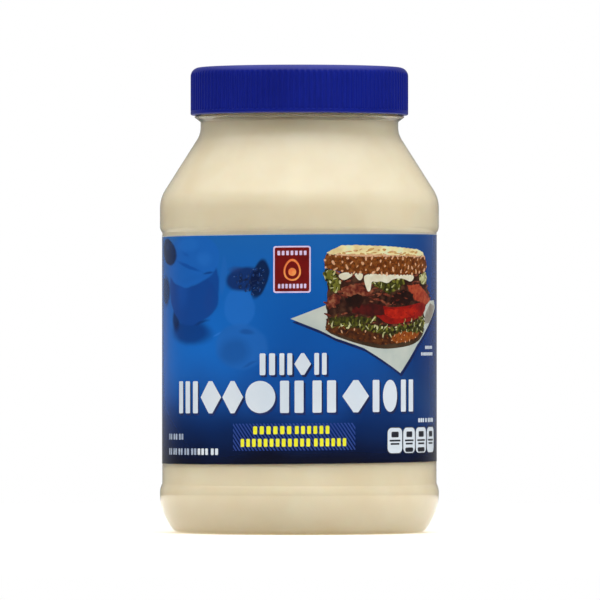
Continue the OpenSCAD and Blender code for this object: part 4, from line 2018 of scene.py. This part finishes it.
@dataclass
class WrapLabel:
    """The wrap label: a printed film round the panel, with an overlap at the back."""

    inner_r: float = 46.61
    outer_r: float = 46.7
    foot: float = 23.9
    height: float = 77.08
    skew: float = 0.0082
    print_drop: float = 0.4
    highlight_h: float = 0.22
    bare_back: float = 6.0
    overlap_w: float = 9.0
    overlap_t: float = 0.05

    def build_film(self) -> bpy.types.Object:
        """Builds the film and dresses it in its blue gradient.

        Returns:
            The film.
        """
        low, high = self.foot, self.foot + self.height
        start = (self.inner_r, low)
        ring = [start, (self.outer_r, low), (self.outer_r, high), (self.inner_r, high), start]
        finish = PrintedFilm(
            name="gravure_printed_film_blue",
            radius=self.outer_r,
            foot=self.foot,
            height=self.height,
            skew=self.skew,
            spots=GhostPicture().spots,
        )
        return Lathe(PrintSheet.facets, skew=self.skew).turn("label_film", ring, finish.material())

    def build_overlap(self, film: bpy.types.Object) -> bpy.types.Object:
        """Builds the end of the film that laps over its start at the back.

        Args:
            film: the film, which shares its material.

        Returns:
            The overlap.
        """
        sheet = PrintSheet(self.outer_r, self.foot, self.skew, step=self.overlap_t)
        back = math.pi * self.outer_r
        half = self.overlap_w / 2
        sheet.lay(Ink.WHITE, rounded_box((back - half, 0), (back + half, self.height)))
        values = {
            "Radius": self.outer_r * MM,
            "Foot": self.foot * MM,
            "Skew": self.skew,
            "Sink": 0.01 * MM,
            "Material": film.data.materials[0],
        }
        return grow("label_overlap", sheet.flat(Ink.WHITE), sheet.wrap_tree(), values)

    def build_print(self) -> list[bpy.types.Object]:
        """Prints the sheet and wraps it.

        Returns:
            The pieces, one to an ink.
        """
        sheet = PrintSheet(self.outer_r, self.foot - self.print_drop, self.skew)
        wide = math.pi * self.outer_r - self.bare_back
        top = self.height + self.print_drop
        # painted highlight: a thin pale band along the top of the print, for the light line where the upper
        # bumper meets the label
        sheet.lay(Ink.EDGE_HIGHLIGHT, rounded_box((-wide, top - self.highlight_h), (wide, top - 0.02)))
        GhostPicture().draw(sheet)
        SandwichPicture().draw(sheet)
        FrontPanel().draw(sheet)
        BackPanels().draw(sheet)
        LOG.info("label: %d laid shapes, %d levels", len(sheet.laid), max(laid.level for laid in sheet.laid))
        return sheet.press()


# ---------------------------------------------------------------- the studio


@dataclass(frozen=True)
class Softbox:
    """A soft area light, in metres and watts, that looks at the jar's middle and is in no reflection."""

    name: str
    at: tuple[float, float, float]
    wide: float
    tall: float
    power: float
    tint: tuple[float, float, float] = (0.96, 0.99, 1.06)
    aim_z: float = 0.08

    def build(self) -> None:
        """Builds the light."""
        light = bpy.data.lights.new(self.name, "AREA")
        light.shape = "RECTANGLE"
        light.size = self.wide
        light.size_y = self.tall
        light.energy = self.power
        light.color = self.tint
        lamp = bpy.data.objects.new(self.name, light)
        bpy.context.collection.objects.link(lamp)
        lamp.location = self.at
        lamp.visible_glossy = False
        lamp.rotation_mode = "QUATERNION"
        lamp.rotation_quaternion = (Vector((0, 0, self.aim_z)) - Vector(self.at)).to_track_quat("-Z", "Y")


@dataclass
class Studio:
    """The pale floor, the soft light and the camera. Sizes here are in metres."""

    floor_r: float = 3.0
    fade_from: float = 0.12
    fade_to: float = 0.6
    floor_glow: float = 0.46
    camera_y: float = -3.0
    camera_z: float = 0.0645
    aim_x: float = 0.0002
    aim_z: float = 0.079
    seen_width: float = 0.204
    softboxes: tuple[Softbox, ...] = (
        Softbox("key_softbox", (0.06, -0.32, 0.8), 0.8, 0.5, 1.85),
        Softbox("front_softbox", (0.15, -0.36, 0.3), 0.25, 0.2, 0.22),
        Softbox("left_softbox", (-1.4, -0.3, 0.7), 0.8, 0.9, 4.8),
        Softbox("right_softbox", (1.4, -0.3, 0.7), 0.8, 0.9, 4.1),
        Softbox("back_softbox", (0.0, 1.2, 1.3), 1.4, 0.8, 4.0),
    )

    def build_floor(self) -> None:
        """Builds a round matt floor that fades into the white surround, so that no edge shows."""
        mesh = bpy.data.meshes.new("studio_floor")
        build = bmesh.new()
        bmesh.ops.create_circle(build, cap_ends=True, segments=96, radius=self.floor_r)
        build.to_mesh(mesh)
        build.free()
        floor = bpy.data.objects.new("studio_floor", mesh)
        bpy.context.collection.objects.link(floor)
        material, tree, shader, place = Finish("matt_studio_paper").start()
        shader.inputs["Base Color"].default_value = linear("#f4f4f2")
        shader.inputs["Roughness"].default_value = 0.8
        shader.inputs["Specular IOR Level"].default_value = 0.1
        shader.inputs["Emission Color"].default_value = linear("#ffedcb")
        shader.inputs["Emission Strength"].default_value = self.floor_glow
        reach = add_node(tree, "ShaderNodeVectorMath", {0: place}, operation="LENGTH")
        fade = add_node(
            tree,
            "ShaderNodeMapRange",
            {"Value": reach.outputs["Value"], "From Min": self.fade_from, "From Max": self.fade_to},
            interpolation_type="SMOOTHSTEP",
        )
        away = add_node(tree, "ShaderNodeBsdfTransparent")
        both = add_node(tree, "ShaderNodeMixShader", {0: fade, 1: shader, 2: away})
        tree.links.new(both.outputs[0], tree.nodes["Material Output"].inputs["Surface"])
        mesh.materials.append(material)

    def light_surround(self) -> None:
        """Lights the surround: dim in front of the label, bright behind and above, white to the camera."""
        world = bpy.data.worlds.new("studio_surround")
        bpy.context.scene.world = world
        world.use_nodes = True
        tree = world.node_tree
        way = add_node(tree, "ShaderNodeTexCoord").outputs["Generated"]
        split = add_node(tree, "ShaderNodeSeparateXYZ", {0: way})
        behind = add_node(
            tree,
            "ShaderNodeMapRange",
            {"Value": split.outputs["Y"], "From Min": 0.35, "From Max": 1.0, "To Min": 0.07, "To Max": 0.2},
            interpolation_type="SMOOTHSTEP",
        )
        above = add_node(
            tree,
            "ShaderNodeMapRange",
            {"Value": split.outputs["Z"], "From Min": 0.45, "From Max": 0.95, "To Min": 0.0, "To Max": 1.25},
            interpolation_type="SMOOTHSTEP",
        )
        glow = add_node(tree, "ShaderNodeMath", {0: behind, 1: above}, operation="ADD")
        path = add_node(tree, "ShaderNodeLightPath")
        strength = add_node(
            tree,
            "ShaderNodeMix",
            {"Factor": path.outputs["Is Camera Ray"], "A": glow, "B": 1.0},
            data_type="FLOAT",
        )
        tree.links.new(strength.outputs["Result"], tree.nodes["Background"].inputs["Strength"])
        tree.nodes["Background"].inputs["Color"].default_value = (1, 1, 1, 1)

    def add_camera(self) -> None:
        """Sets the long-lens camera a little below the jar's middle."""
        data = bpy.data.cameras.new("camera")
        data.lens = 36 * -self.camera_y / self.seen_width
        data.clip_end = 20
        camera = bpy.data.objects.new("camera", data)
        bpy.context.collection.objects.link(camera)
        camera.location = (self.aim_x, self.camera_y, self.camera_z)
        camera.rotation_mode = "QUATERNION"
        aim = Vector((self.aim_x, 0, self.aim_z)) - camera.location
        camera.rotation_quaternion = aim.to_track_quat("-Z", "Y")
        bpy.context.scene.camera = camera

    def build(self) -> None:
        """Builds the studio."""
        bpy.context.scene.view_settings.view_transform = "Standard"
        self.build_floor()
        self.light_surround()
        for softbox in self.softboxes:
            softbox.build()
        self.add_camera()


def main() -> None:
    """Builds the jar, its filling, its cap, its label and the studio in order."""
    logging.basicConfig(level=logging.INFO, format="%(name)s: %(message)s")
    jar = JarBody.from_frame()
    settle(jar.build_wall(), "jar")
    settle(jar.build_fill(), "mayonnaise")
    settle(ScrewCap.from_frame().build(), "cap")
    label = WrapLabel()
    film = label.build_film()
    settle(film, "label")
    settle(label.build_overlap(film), "label")
    for piece in label.build_print():
        settle(piece, "label")
    Studio().build()


if __name__ == "__main__":
    main()
